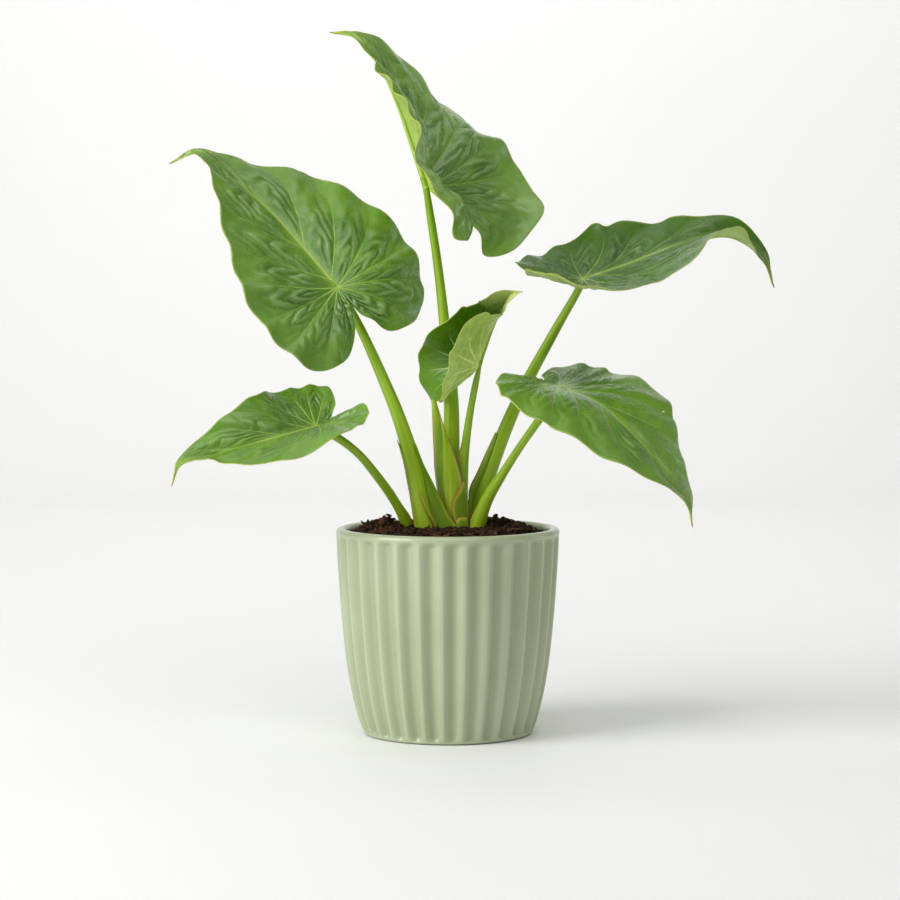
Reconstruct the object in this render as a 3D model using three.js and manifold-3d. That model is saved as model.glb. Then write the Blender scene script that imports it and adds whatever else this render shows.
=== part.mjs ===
/*
 * Potted alocasia: six arrow-shaped leaves on sheathed stalks, rising from a short rhizome in soil,
 * in a fluted glazed pot. Millimetres, +Z up. The origin is on the pot's axis, on the surface that
 * the pot stands on. +X is the right-hand side of the plant and -Y its front.
 */
import * as THREE from 'three';
import { mergeVertices } from 'three/addons/utils/BufferGeometryUtils.js';
import Module from 'manifold-3d';

const wasm = await Module();
wasm.setup();

// ------------------------------------------------------------------ driving dimensions
const GAP = 0.3;                    // clearance between pieces that touch
const SOCKET_GAP = 0.45;            // the same in the holes that the stalks stand in, over their flat facets
const SEAT_GAP = 0.5;               // between a stalk's flat end and its blade's curved underside

const POT_HEIGHT = 157;
const POT_OUTER = [                 // height and radius over the ribs
  [0, 64], [5, 66.2], [12, 68.6], [28, 72.8], [50, 76.8], [76, 79.9], [104, 82.3], [134, 84.2], [152, 85],
];
const POT_WALL = 7.5;               // wall at the lip
const POT_FLOOR = 9;                // thickness of the bottom
const LIP_ROUND = 3.4;              // rounding of the lip
const FOOT_ROUND = 2.4;             // rounding where the side meets the foot
const FLUTES = 30;
const FLUTE_DEPTH = 3.6;
const FLUTE_TURN = 3;               // degrees by which the groove nearest the front stands to its right
const FLUTE_FOOT = [0.5, 6];        // heights between which the flutes fade in
const FLUTE_HEAD = [148.5, 153.5];  // heights between which they fade out below the rim band
const SAMPLES_PER_FLUTE = 4;
const POT_RINGS = [FOOT_ROUND, 6, 12, 26, 46, 72, 100, 126, 144, 148.5, 151, 153.3];  // heights

const SOIL_EDGE = 150.5;            // height of the soil at the wall
const SOIL_CROWN = 156;             // height of the soil round the stalks
const SOIL_FALL = 0.72;             // share of the radius where the surface starts to fall to the wall
const SOIL_LUMPS = [                // x, y, height and width of the larger lumps
  [-46, -2, 9, 8], [-60, 4, 4, 12], [36, 2, 9, 8], [49, 4, 5, 11], [-58, 24, 3, 12], [-8, 38, 4, 14],
  [30, 40, 3, 12], [-38, -48, 1.5, 10], [44, -44, 1.5, 10],
];

const STALK_FOOT = 137;             // height at which the stalks stand on the rhizome
const RHIZOME = { x: -1, y: 4, bottom: 94, wide: 31, deep: 27 };

const LEAF_THICKNESS = 1.2;
const VEINS = 9;                    // side veins in each half of a blade
const LEAF_OUTLINE = [              // half of a blade laid flat, across and along, for a midrib of 1
  [0, 1], [0.012, 0.92], [0.05, 0.855], [0.15, 0.71], [0.27, 0.52], [0.38, 0.29], [0.43, 0.09],
  [0.415, -0.1], [0.36, -0.27], [0.25, -0.385], [0.12, -0.37], [0.035, -0.25], [0, -0.12],
];
const LEAF_HALF_WIDTH = 0.43;
const LEAF_LINES = 27;              // grid of one half, round its outline ...
const LEAF_STEPS = 4;               // ... and from the midrib to the margin
const HALF_KEYS = [-0.4, 0.2, 1];   // places along the midrib that fold and curl are given at
const LOBE_BEND = 0.1;              // length over which the lobes turn to their spread
const SCALLOP = 0.016;              // depth of the margin's bays between the side veins

/*
 * The leaves. midrib: points from the stalk to the tip. face: azimuth and elevation of the direction
 * that the upper side looks in, at the stalk, halfway and at the tip; azimuth 0 is the front and 90
 * the right. For the two halves, the one to the left seen from above with the tip away comes first:
 * width, fold (slope up from the midrib) and curl (how much that slope changes out to the margin),
 * each at the lobes, near the stalk and at the tip. rise lifts the lobes in a curve and spread in a
 * slope, lobe is their length and wave the height of the margin's waves.
 */
const LEAVES = [
  {
    name: 'left_low', colour: 0x4f8a35, wave: 0.008, phase: 0.5, width: [0.94, 0.77],
    midrib: [
      [-99, -32, 235], [-124, -50, 229], [-151, -60, 222], [-177, -66, 215], [-196, -76, 209],
      [-202, -81, 194],
    ],
    face: [[-44, 29], [-30, 30], [-35, 35]],
    fold: [[24, 20, 40], [20, 23, 25]], curl: [[-20, -11, 0], [14, 10, 5]],
    rise: 0.65, spread: 0, lobe: 0.55,
  },
  {
    name: 'left_high', colour: 0x45812f, wave: 0.012, phase: 0, width: [1, 1.03],
    midrib: [
      [-84, -3, 339], [-109, 8, 368], [-136, 16, 397], [-167, 24, 424], [-192, 27, 442], [-214, 33, 434],
    ],
    face: [[40, -4], [42, 5], [65, 30]],
    fold: [[-8, 4, 26], [4, 14, -12]], curl: [[12, 4, -6], [-30, -19, -4]],
    rise: -0.4, spread: 0, lobe: 0.71,
  },
  {
    name: 'top', colour: 0x45812f, wave: 0.014, phase: 1, width: [0.83, 1.23],
    midrib: [
      [-15, 16, 416], [-26, 28, 447], [-38, 40, 480], [-53, 46, 511], [-71, 41, 531], [-91, 42, 535],
    ],
    face: [[96, 16], [92, 23], [15, 62]],
    fold: [[4, 24, 1], [8, 90, 13]], curl: [[-79, -38, -69], [133, -55, -116]],
    rise: -1.37, spread: 1.98, lobe: 0.99,
  },
  {
    name: 'young', colour: 0x6a9c3a, wave: 0.01, phase: 0.4, width: [1.31, 1.3],
    midrib: [
      [23, -21, 281], [28, -20, 295], [34, -15, 310], [41, -14, 324], [48, -21, 335], [56, -39, 336],
    ],
    face: [[-79, 21], [-33, 18], [-63, -25]],
    fold: [[-5, 83, 63], [13, 47, 39]], curl: [[38, 41, 49], [3, 15, 18]],
    rise: -0.21, spread: 0.86, lobe: 1.14,
  },
  {
    name: 'right_high', colour: 0x45812f, wave: 0.008, phase: 0.8, width: [0.86, 1.13],
    midrib: [
      [103, 12, 346], [139, 14, 358], [177, 27, 372], [218, 45, 379], [244, 53, 362], [253, 50, 339],
    ],
    face: [[-53, 67], [-21, 70], [15, 14]],
    fold: [[3, -9, -4], [9, -10, 56]], curl: [[-9, 60, 15], [18, 25, 33]],
    rise: -0.44, spread: 1.07, lobe: 0.61,
  },
  {
    name: 'right_low', colour: 0x45812f, wave: 0.007, phase: 0.3, width: [1.05, 1],
    midrib: [
      [83, -36, 265], [112, -55, 253], [136, -74, 231], [158, -83, 206], [174, -87, 185], [178, -90, 165],
    ],
    face: [[36, 70], [25, 48], [38, 50]],
    fold: [[-8, 0, 4], [14, 10, 18]], curl: [[26, -1, -38], [-22, -25, -28]],
    rise: -0.04, spread: 0, lobe: 0.48,
  },
];

/*
 * The stalks, from the rhizome up to just below the blade, which the code adds the last points to.
 * radius goes with the path's points. fins are the margins of the sheath: direction from the
 * stalk's middle in degrees, 0 to the right and 90 to the back, and reach beyond the stalk.
 */
const STALKS = {
  left_low: {
    path: [
      [-24, 5, STALK_FOOT], [-28, 4, 149], [-31, 2, 158.5], [-38, -4, 173], [-51, -14, 193.5],
      [-70, -26, 217], [-90, -32, 231],
    ],
    radius: [4.6, 4.8, 4.7, 3.7, 3.4, 3.1, 3],
    fins: [[60, [1, 1.5, 1.5, 1.2, 0, 0, 0]]],
  },
  left_high: {
    path: [
      [-14, -12, STALK_FOOT], [-15, -12, 149], [-16, -12, 159], [-18.5, -12, 170], [-24.8, -9, 202],
      [-32, -5, 225], [-42.2, 1, 253], [-72, 13, 318],
    ],
    radius: [7, 7.2, 7.1, 6.6, 6, 5.6, 4.8, 3.2],
    fins: [[-8, [20, 19, 16, 11, 1.8, 0, 0, 0]], [165, [0, 1, 1.9, 2.1, 2.1, 0.8, 0, 0]]],
  },
  top: {
    path: [
      [0, 7.5, STALK_FOOT], [0, 8, 150], [0.5, 9.5, 165], [1.8, 10.5, 190], [2.6, 11, 205], [2.7, 11.5, 230],
      [2.2, 12, 257], [-3, 15, 314], [-8.5, 18, 361], [-14, 19, 397],
    ],
    radius: [5, 5, 5.3, 5.7, 6, 6.1, 5.6, 4.1, 3.4, 3],
    fins: [],
  },
  young: {
    path: [
      [11, 9.5, STALK_FOOT], [10.8, 9, 150], [11, 7.5, 165], [11.2, 5.5, 190], [12, 3, 208], [13.8, 0, 224],
      [17, -5, 246], [21.5, -15, 270],
    ],
    radius: [3.8, 3.9, 4, 4.1, 3.8, 3.2, 2.7, 2.3],
    fins: [[205, [0, 0, 0, 0.8, 0.8, 0.3, 0, 0]]],
  },
  right_high: {
    path: [
      [15, 23, STALK_FOOT], [17, 22, 149], [20.5, 20, 160], [34, 17, 205], [55, 18, 256], [80, 18, 303],
      [96, 16, 331],
    ],
    radius: [6, 6.2, 6.4, 5.9, 4.7, 3.7, 3],
    fins: [[200, [0, 0, 0.5, 3, 0, 0, 0]]],
  },
  right_low: {
    path: [
      [20, -4, STALK_FOOT], [21, -5.5, 149], [22.5, -8, 158], [29, -12, 178], [39.5, -17, 196],
      [54, -24.5, 219.5], [76, -35, 252],
    ],
    radius: [5.4, 5.6, 5.6, 4.8, 3.6, 3, 3],
    fins: [[190, [0, 0.6, 0.8, 1, 1, 0, 0]]],
  },
};
const STALK_COLOUR = 0x86a81f;
const SHEATH_COLOUR = 0x93b52a;
const LEAF_ROUGHNESS = 0.4;
const STALK_SIDES = 12;
const STALK_RINGS = 11;             // rings up to the share of the stalk's length below ...
const STALK_STRAIGHT = 0.94;
const BEND_RINGS = [0.965, 0.985, 1];  // ... and those of its bend to the blade
const STALK_BEND = 4;               // length of the bend that brings a stalk square to its blade
const FIN_HALF_ANGLE = 16;          // degrees to each side of a fin's crest where it meets the stalk
const FIN_CLEAR_ANGLE = 22;         // degrees round the crest that are left without other corners

const SHEATH = {                    // the pointed sheath that stands round the middle stalks
  centre: [
    [4, 3, STALK_FOOT], [4, 3, 157], [3.1, 3, 176], [0.5, 2.4, 191.5], [-1, 1, 201.7], [-3.2, -1, 214.4],
    [-5.9, -4, 227], [-8.3, -6.5, 239.8], [-10.6, -6.5, 252.5],
  ],
  radius: [11.4, 11.4, 11.1, 10.8, 10.1, 8.2, 6.1, 4.1, 2.1],
  thick: [2.6, 2.6, 2.6, 2.5, 2.4, 2.2, 2, 1.8, 1.2],
  left: [100, 100, 103, 105, 98, 90, 85, 80, 70],   // degrees it reaches round to the left of the front
  right: [80, 80, 76, 74, 72, 68, 65, 62, 60],
};
const SHEATH_ARCS = 8;
const SHEATH_RINGS = 11;
const SHEATH_CORE = 0.35;           // the least share of the radius that stays open inside it

// ------------------------------------------------------------------ curves and solids
const lerp = THREE.MathUtils.lerp;
const smooth = (a, b, x) => THREE.MathUtils.smoothstep((x - a) / (b - a), 0, 1);
const radians = THREE.MathUtils.degToRad;
const unit = (v) => v.clone().normalize();

/** Value at u between values given at keys. */
function keyed(u, values, keys) {
  let i = 0;
  while (i < keys.length - 2 && u > keys[i + 1]) i += 1;
  const w = THREE.MathUtils.clamp((u - keys[i]) / (keys[i + 1] - keys[i]), 0, 1);
  return lerp(values[i], values[i + 1], w);
}

/** Smooth curve through points of any dimension, sampled evenly by length. */
function evenCurve(points, count) {
  const root = [0];
  for (let i = 1; i < points.length; i += 1) {
    root.push(root[i - 1] + Math.sqrt(Math.hypot(...points[i].map((c, k) => c - points[i - 1][k]))));
  }
  const knots = root.map((v) => v / root[root.length - 1]);
  const chord = (i) => points[i].map((c, k) => (points[i + 1][k] - c) / (knots[i + 1] - knots[i]));
  const slopes = points.map((_, i) => {
    if (i === 0) return chord(0);
    if (i === points.length - 1) return chord(i - 1);
    const before = knots[i] - knots[i - 1];
    const after = knots[i + 1] - knots[i];
    return chord(i - 1).map((c, k) => (c * after + chord(i)[k] * before) / (before + after));
  });
  const at = (u) => {
    let i = 0;
    while (i < knots.length - 2 && u > knots[i + 1]) i += 1;
    const h = knots[i + 1] - knots[i];
    const w = (u - knots[i]) / h;
    const a = 2 * w ** 3 - 3 * w ** 2 + 1;
    const b = (w ** 3 - 2 * w ** 2 + w) * h;
    const d = (w ** 3 - w ** 2) * h;
    return points[i].map((c, k) => (
      a * c + b * slopes[i][k] + (1 - a) * points[i + 1][k] + d * slopes[i + 1][k]));
  };
  const FINE = 800;
  const fine = Array.from({ length: FINE + 1 }, (_, i) => at(i / FINE));
  const run = [0];
  for (let i = 1; i <= FINE; i += 1) {
    run.push(run[i - 1] + Math.hypot(...fine[i].map((c, k) => c - fine[i - 1][k])));
  }
  const samples = [];
  let j = 0;
  for (let i = 0; i < count; i += 1) {
    const want = (run[FINE] * i) / (count - 1);
    while (j < FINE - 1 && run[j + 1] < want) j += 1;
    const w = (want - run[j]) / (run[j + 1] - run[j]);
    samples.push(fine[j].map((c, k) => lerp(c, fine[j + 1][k], w)));
  }
  return { samples, length: run[FINE] };
}

/** Linear look-up in evenly spaced samples, u 0..1. */
function sampleAt(samples, u) {
  const k = THREE.MathUtils.clamp(u, 0, 1) * (samples.length - 1);
  const i = Math.min(Math.floor(k), samples.length - 2);
  return samples[i].map((c, d) => lerp(c, samples[i + 1][d], k - i));
}

function geometryOf(points, triangles) {
  const geometry = new THREE.BufferGeometry();
  geometry.setAttribute('position', new THREE.Float32BufferAttribute(points.flat(), 3));
  geometry.setIndex(triangles.flat());
  return geometry;
}

/** Closed body through rings of equally many points; the ends are closed by fans. */
function loft(rings) {
  const n = rings[0].length;
  const points = rings.flat();
  const triangles = [];
  for (let r = 0; r < rings.length - 1; r += 1) {
    for (let i = 0; i < n; i += 1) {
      const a = r * n + i;
      const b = r * n + ((i + 1) % n);
      triangles.push([a, b, b + n], [a, b + n, a + n]);
    }
  }
  const middle = (ring) => [0, 1, 2].map((k) => ring.reduce((sum, p) => sum + p[k], 0) / n);
  const last = (rings.length - 1) * n;
  points.push(middle(rings[0]), middle(rings[rings.length - 1]));
  for (let i = 0; i < n; i += 1) {
    const next = (i + 1) % n;
    triangles.push([points.length - 2, next, i], [points.length - 1, last + i, last + next]);
  }
  return geometryOf(points, triangles);
}

function solidOf(geometry) {
  const merged = mergeVertices(geometry, 1e-4);
  return new wasm.Manifold(new wasm.Mesh({
    numProp: 3,
    vertProperties: merged.getAttribute('position').array,
    triVerts: Uint32Array.from(merged.getIndex().array),
  }));
}

function cut(geometry, ...cutters) {
  let solid = solidOf(geometry);
  for (const cutter of cutters) solid = solid.subtract(solidOf(cutter));
  const mesh = solid.getMesh();
  const result = new THREE.BufferGeometry();
  result.setAttribute('position', new THREE.Float32BufferAttribute(mesh.vertProperties, 3));
  result.setIndex(Array.from(mesh.triVerts));
  return result;
}

function piece(name, geometry, colour, roughness) {
  const material = new THREE.MeshStandardMaterial({ color: colour, roughness, metalness: 0 });
  const mesh = new THREE.Mesh(geometry, material);
  mesh.name = name;
  return mesh;
}

// ------------------------------------------------------------------ pot
const potProfile = evenCurve(POT_OUTER, 200).samples;

/** Radius over the ribs at a height. */
function potRadius(z) {
  let i = 0;
  while (i < potProfile.length - 2 && potProfile[i + 1][0] < z) i += 1;
  const w = THREE.MathUtils.clamp((z - potProfile[i][0]) / (potProfile[i + 1][0] - potProfile[i][0]), 0, 1);
  return lerp(potProfile[i][1], potProfile[i + 1][1], w);
}

/** Depth of the flutes at a height, and at an angle from +X. */
function fluteDepth(z, angle) {
  const fade = smooth(...FLUTE_FOOT, z) * (1 - smooth(...FLUTE_HEAD, z));
  const wave = 0.5 + 0.5 * Math.cos(FLUTES * (angle + Math.PI / 2 - radians(FLUTE_TURN)));
  return FLUTE_DEPTH * fade * wave;
}

const INNER_HEIGHTS = [POT_FLOOR, POT_HEIGHT / 2, POT_HEIGHT - LIP_ROUND];
const INNER_RADII = INNER_HEIGHTS.map((z) => potRadius(z) - POT_WALL);
const innerRadius = (z) => keyed(z, INNER_RADII, INNER_HEIGHTS);

function makePot() {
  const rings = [];
  const columns = FLUTES * SAMPLES_PER_FLUTE;
  const ring = (z, radius) => {
    rings.push(Array.from({ length: columns }, (_, i) => {
      const angle = (2 * Math.PI * i) / columns;
      const r = radius(angle);
      return [r * Math.cos(angle), r * Math.sin(angle), z];
    }));
  };
  ring(0, () => potRadius(0) - FOOT_ROUND);
  for (const z of POT_RINGS) {
    ring(z, (angle) => potRadius(z) - fluteDepth(z, angle));
  }
  const lip = POT_HEIGHT - LIP_ROUND;
  for (const turn of [30, 60, 90]) {
    const out = LIP_ROUND * (1 - Math.cos(radians(turn)));
    ring(lip + LIP_ROUND * Math.sin(radians(turn)), () => potRadius(lip) - out);
  }
  ring(POT_HEIGHT, () => innerRadius(lip) + LIP_ROUND);
  for (const z of INNER_HEIGHTS.toReversed()) ring(z, () => innerRadius(z));
  return piece('pot', loft(rings), 0xa9b694, 0.35);
}

// ------------------------------------------------------------------ soil and rhizome
function soilHeight(x, y) {
  const r = Math.hypot(x, y) / innerRadius(SOIL_EDGE);
  const mound = lerp(SOIL_CROWN, SOIL_EDGE, smooth(SOIL_FALL, 1, r));
  const crumbs = 0.7 * Math.sin(0.31 * x + 1.3) * Math.sin(0.27 * y + 0.4)
    + 0.5 * Math.sin(0.53 * x - 0.4 * y) + 0.4 * Math.cos(0.71 * y + 0.33 * x + 2);
  const lumps = SOIL_LUMPS.reduce((sum, [lx, ly, high, wide]) => (
    sum + high * Math.exp(-((x - lx) ** 2 + (y - ly) ** 2) / (0.5 * wide ** 2))), 0);
  return mound + (crumbs + lumps) * (1 - smooth(0.93, 1, r));
}

function soilBody() {
  const sides = 48;
  const ring = (radius, height) => Array.from({ length: sides }, (_, i) => {
    const angle = (2 * Math.PI * i) / sides;
    const x = radius * Math.cos(angle);
    const y = radius * Math.sin(angle);
    return [x, y, height(x, y)];
  });
  const rings = [POT_FLOOR + GAP, POT_HEIGHT / 2].map((z) => ring(innerRadius(z) - GAP, () => z));
  for (const share of [1, 0.93, 0.85, 0.76, 0.66, 0.54, 0.42, 0.28, 0.13]) {
    rings.push(ring(share * (innerRadius(SOIL_EDGE) - GAP), soilHeight));
  }
  return loft(rings);
}

function rhizomeBody(grow = 0) {
  const { x, y, bottom, wide, deep } = RHIZOME;
  const top = STALK_FOOT - GAP;
  const levels = [[0, 0.45], [0.12, 0.72], [0.3, 0.9], [0.5, 0.98], [0.72, 1], [0.9, 0.97], [1, 0.88]];
  const sides = 20;
  return loft(levels.map(([level, share]) => Array.from({ length: sides }, (_, i) => {
    const angle = (2 * Math.PI * i) / sides;
    const knob = 1 + 0.04 * Math.sin(3 * angle + 5 * level);
    return [
      x + (wide * share * knob + grow) * Math.cos(angle),
      y + (deep * share * knob + grow) * Math.sin(angle),
      lerp(bottom - grow, top + grow, level),
    ];
  })));
}

// ------------------------------------------------------------------ leaves
const outline = evenCurve(LEAF_OUTLINE, 401).samples;
const TIP_ZONE = 0.28;              // above this the side veins start along the midrib
const VEIN_BEND = 0.16;             // how far they bend back
const PATH_SAMPLES = 121;

function facing([azimuth, elevation]) {
  const a = radians(azimuth);
  const e = radians(elevation);
  return new THREE.Vector3(Math.sin(a) * Math.cos(e), -Math.cos(a) * Math.cos(e), Math.sin(e));
}

/** Place on the flat blade: s runs round the outline from the tip, t from the midrib to the margin. */
function flatPoint(s, t) {
  const [ox, oy] = sampleAt(outline, s);
  const start = oy > TIP_ZONE && s < 0.6 ? ((oy - TIP_ZONE) / (1 - TIP_ZONE)) ** 2 : 0;
  const reach = Math.hypot(ox, oy - start);
  const bend = VEIN_BEND * reach * t * (1 - t) * smooth(-0.3, 0.3, oy);
  return [ox * t, start + (oy - start) * t - bend];
}

class Blade {
  constructor(leaf) {
    this.leaf = leaf;
    const { samples, length } = evenCurve(leaf.midrib, PATH_SAMPLES);
    this.length = length;
    const path = samples.map((p) => new THREE.Vector3(...p));
    const faces = leaf.face.map(facing);
    this.frames = path.map((p, i) => {
      const along = unit(path[Math.min(i + 1, path.length - 1)].clone().sub(path[Math.max(i - 1, 0)]));
      const u = (2 * i) / (path.length - 1);
      const normal = u < 1 ? faces[0].clone().lerp(faces[1], u) : faces[1].clone().lerp(faces[2], u - 1);
      normal.addScaledVector(along, -normal.dot(along)).normalize();
      return [...p.toArray(), ...along.toArray(), ...normal.toArray()];
    });
  }

  /** Origin and axes on the midrib at y of its length; behind the stalk, in the lobes, y is negative. */
  frame(y) {
    const row = sampleAt(this.frames, y);
    const [p, along, normal] = [0, 3, 6].map((k) => new THREE.Vector3(...row.slice(k, k + 3)));
    along.normalize();
    normal.normalize();
    if (y < 0) {
      const back = y * this.length * this.leaf.lobe;
      const start = LOBE_BEND * this.length;
      const lift = (this.leaf.rise * back ** 2) / (0.4 * this.length)
        + this.leaf.spread * (Math.hypot(back, start) - start);
      p.addScaledVector(along, back);
      p.addScaledVector(normal, lift);
    }
    return { p, along, normal, across: along.clone().cross(normal) };
  }

  point(side, s, t) {
    const half = side < 0 ? 0 : 1;
    const { width, fold, curl, wave, phase } = this.leaf;
    const [x, y] = flatPoint(s, t);
    const { p, normal, across } = this.frame(y);
    const slope = radians(keyed(y, fold[half], HALF_KEYS));
    const turn = radians(keyed(y, curl[half], HALF_KEYS)) * (x / LEAF_HALF_WIDTH);
    const chord = turn === 0 ? 1 : Math.sin(turn / 2) / (turn / 2);
    const start = smooth(0.04, 0.2, s);
    const round = 2 * Math.PI * VEINS * s;
    const scallop = 1 - SCALLOP * t ** 3 * Math.cos(round) * start;
    const reach = x * scallop * this.length * width[half] * chord;
    const fade = start * (1 - smooth(0.9, 1, s));
    const ripple = wave * this.length * t ** 2 * Math.sin(round + phase * side) * fade;
    p.addScaledVector(across, side * reach * Math.cos(slope + turn / 2));
    p.addScaledVector(normal, reach * Math.sin(slope + turn / 2) + ripple);
    return p;
  }

  /** The blade as a thin closed body, with its two faces split into triangles alike. */
  body() {
    const points = [];
    const triangles = [];
    for (const side of [-1, 1]) {
      const base = points.length;
      for (let i = 0; i <= LEAF_LINES; i += 1) {
        for (let j = 0; j <= LEAF_STEPS; j += 1) {
          points.push(this.point(side, i / LEAF_LINES, j / LEAF_STEPS).toArray());
        }
      }
      for (let i = 0; i < LEAF_LINES; i += 1) {
        for (let j = 0; j < LEAF_STEPS; j += 1) {
          const a = base + i * (LEAF_STEPS + 1) + j;
          const b = a + LEAF_STEPS + 1;
          const quad = [[a, b, b + 1], [a, b + 1, a + 1]];
          triangles.push(...(side < 0 ? quad : quad.map((corner) => corner.slice().reverse())));
        }
      }
    }
    return thicken(geometryOf(points, triangles), LEAF_THICKNESS);
  }
}

/** A sheet turned into a closed body of even thickness. */
function thicken(sheet, thickness) {
  const merged = mergeVertices(sheet, 1e-3);
  const index = Array.from(merged.getIndex().array);
  const triangles = [];
  for (let i = 0; i < index.length; i += 3) {
    const [a, b, c] = index.slice(i, i + 3);
    if (a !== b && b !== c && c !== a) triangles.push([a, b, c]);
  }
  merged.setIndex(triangles.flat());
  merged.computeVertexNormals();
  const position = merged.getAttribute('position');
  const normal = merged.getAttribute('normal');
  const count = position.count;
  const layer = (offset) => Array.from({ length: count }, (_, i) => (
    new THREE.Vector3().fromBufferAttribute(position, i)
      .addScaledVector(new THREE.Vector3().fromBufferAttribute(normal, i), offset).toArray()));
  const edges = new Set(triangles.flatMap(([a, b, c]) => [`${a},${b}`, `${b},${c}`, `${c},${a}`]));
  const rim = [];
  for (const edge of edges) {
    const [a, b] = edge.split(',').map(Number);
    if (!edges.has(`${b},${a}`)) rim.push([a, a + count, b + count], [a, b + count, b]);
  }
  const under = triangles.map(([a, b, c]) => [a + count, c + count, b + count]);
  return geometryOf([...layer(thickness / 2), ...layer(-thickness / 2)], [...triangles, ...under, ...rim]);
}

// ------------------------------------------------------------------ stalks and sheath
/** Corners round a stalk in degrees, each with the number of its fin, or -1. */
function stalkCorners(fins) {
  const corners = [];
  for (let i = 0; i < STALK_SIDES; i += 1) {
    const angle = (360 * i) / STALK_SIDES;
    const near = fins.some(([at]) => Math.abs(((angle - at + 540) % 360) - 180) < FIN_CLEAR_ANGLE);
    if (!near) corners.push([angle, -1]);
  }
  fins.forEach(([at], k) => {
    for (const [offset, fin] of [[-FIN_HALF_ANGLE, -1], [0, k], [FIN_HALF_ANGLE, -1]]) {
      corners.push([(at + offset + 360) % 360, fin]);
    }
  });
  return corners.sort((a, b) => a[0] - b[0]);
}

/** A stalk up to the seat under its blade; grow makes it larger all round, for its socket. */
function stalkBody(stalk, blade, grow = 0) {
  const { p, normal } = blade.frame(0);
  const seat = p.clone().addScaledVector(normal, -(LEAF_THICKNESS / 2 + SEAT_GAP));
  const bend = seat.clone().addScaledVector(normal, -STALK_BEND);
  const path = [...stalk.path, bend.toArray(), seat.toArray()];
  const radius = [...stalk.radius, stalk.radius.at(-1), stalk.radius.at(-1)];
  const rows = path.map((q, i) => [...q, radius[i], ...stalk.fins.map(([, reach]) => reach[i] ?? 0)]);
  const { samples } = evenCurve(rows, PATH_SAMPLES);
  const corners = stalkCorners(stalk.fins);
  const stations = Array.from({ length: STALK_RINGS }, (_, i) => (i / (STALK_RINGS - 1)) * STALK_STRAIGHT);
  const rings = [...stations, ...BEND_RINGS].map((u) => {
    const here = sampleAt(samples, u);
    const ahead = new THREE.Vector3(...sampleAt(samples, Math.min(u + 0.005, 1)));
    const behind = new THREE.Vector3(...sampleAt(samples, Math.max(u - 0.005, 0)));
    const tangent = u === 1 ? normal.clone() : unit(ahead.sub(behind));
    if (u === 0) tangent.set(0, 0, 1);
    const right = new THREE.Vector3(1, 0, 0);
    right.addScaledVector(tangent, -right.dot(tangent)).normalize();
    const back = tangent.clone().cross(right);
    const centre = new THREE.Vector3(...here);
    if (u === 0) centre.addScaledVector(tangent, -grow);
    if (u === 1) centre.addScaledVector(tangent, grow);
    return corners.map(([angle, fin]) => {
      const r = here[3] + (fin < 0 ? 0 : here[4 + fin]) + grow;
      return centre.clone()
        .addScaledVector(right, r * Math.cos(radians(angle)))
        .addScaledVector(back, r * Math.sin(radians(angle))).toArray();
    });
  });
  return loft(rings);
}

function sheathBody(grow = 0) {
  const rows = SHEATH.centre.map((c, i) => [
    ...c, SHEATH.radius[i], SHEATH.thick[i], SHEATH.left[i], SHEATH.right[i],
  ]);
  const { samples } = evenCurve(rows, PATH_SAMPLES);
  const rings = Array.from({ length: SHEATH_RINGS }, (_, i) => {
    const [x, y, z, radius, thick, left, right] = sampleAt(samples, i / (SHEATH_RINGS - 1));
    const inner = Math.max(radius - thick - grow, SHEATH_CORE * radius);
    const spare = THREE.MathUtils.radToDeg(grow / radius);
    const at = (r, share) => {
      const angle = radians(lerp(-90 + right + spare, -90 - left - spare, share));
      return [x + r * Math.cos(angle), y + r * Math.sin(angle), z + (i === 0 ? -grow : 0)];
    };
    const shares = Array.from({ length: SHEATH_ARCS + 1 }, (_, k) => k / SHEATH_ARCS);
    const outside = shares.map((share) => at(radius + grow, 1 - share));
    return [...outside, ...shares.map((share) => at(inner, share))];
  });
  return loft(rings);
}

// ------------------------------------------------------------------ assembly
const group = new THREE.Group();
group.add(makePot());

const sockets = [];
for (const leaf of LEAVES) {
  const blade = new Blade(leaf);
  group.add(piece(`stalk_${leaf.name}`, stalkBody(STALKS[leaf.name], blade), STALK_COLOUR, LEAF_ROUGHNESS));
  group.add(piece(`blade_${leaf.name}`, blade.body(), leaf.colour, LEAF_ROUGHNESS));
  sockets.push(stalkBody(STALKS[leaf.name], blade, SOCKET_GAP));
}
group.add(piece('sheath', sheathBody(), SHEATH_COLOUR, LEAF_ROUGHNESS));
sockets.push(sheathBody(SOCKET_GAP));
group.add(piece('rhizome', rhizomeBody(), 0x6b4a2c, 0.9));
group.add(piece('soil', cut(soilBody(), rhizomeBody(GAP), ...sockets), 0x38251b, 0.95));

export default group;
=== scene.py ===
"""Looks of the potted alocasia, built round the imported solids.

Shapes are computed in millimetres in the part's own frame and written to meshes in metres. The leaves,
stalks, sheath, pot and soil repeat the part's formulas with a finer mesh, and add veins, quilting, margins,
membranes, crumbs and glaze.
"""
import math

import bpy
import numpy as np
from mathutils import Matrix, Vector, noise


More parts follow.
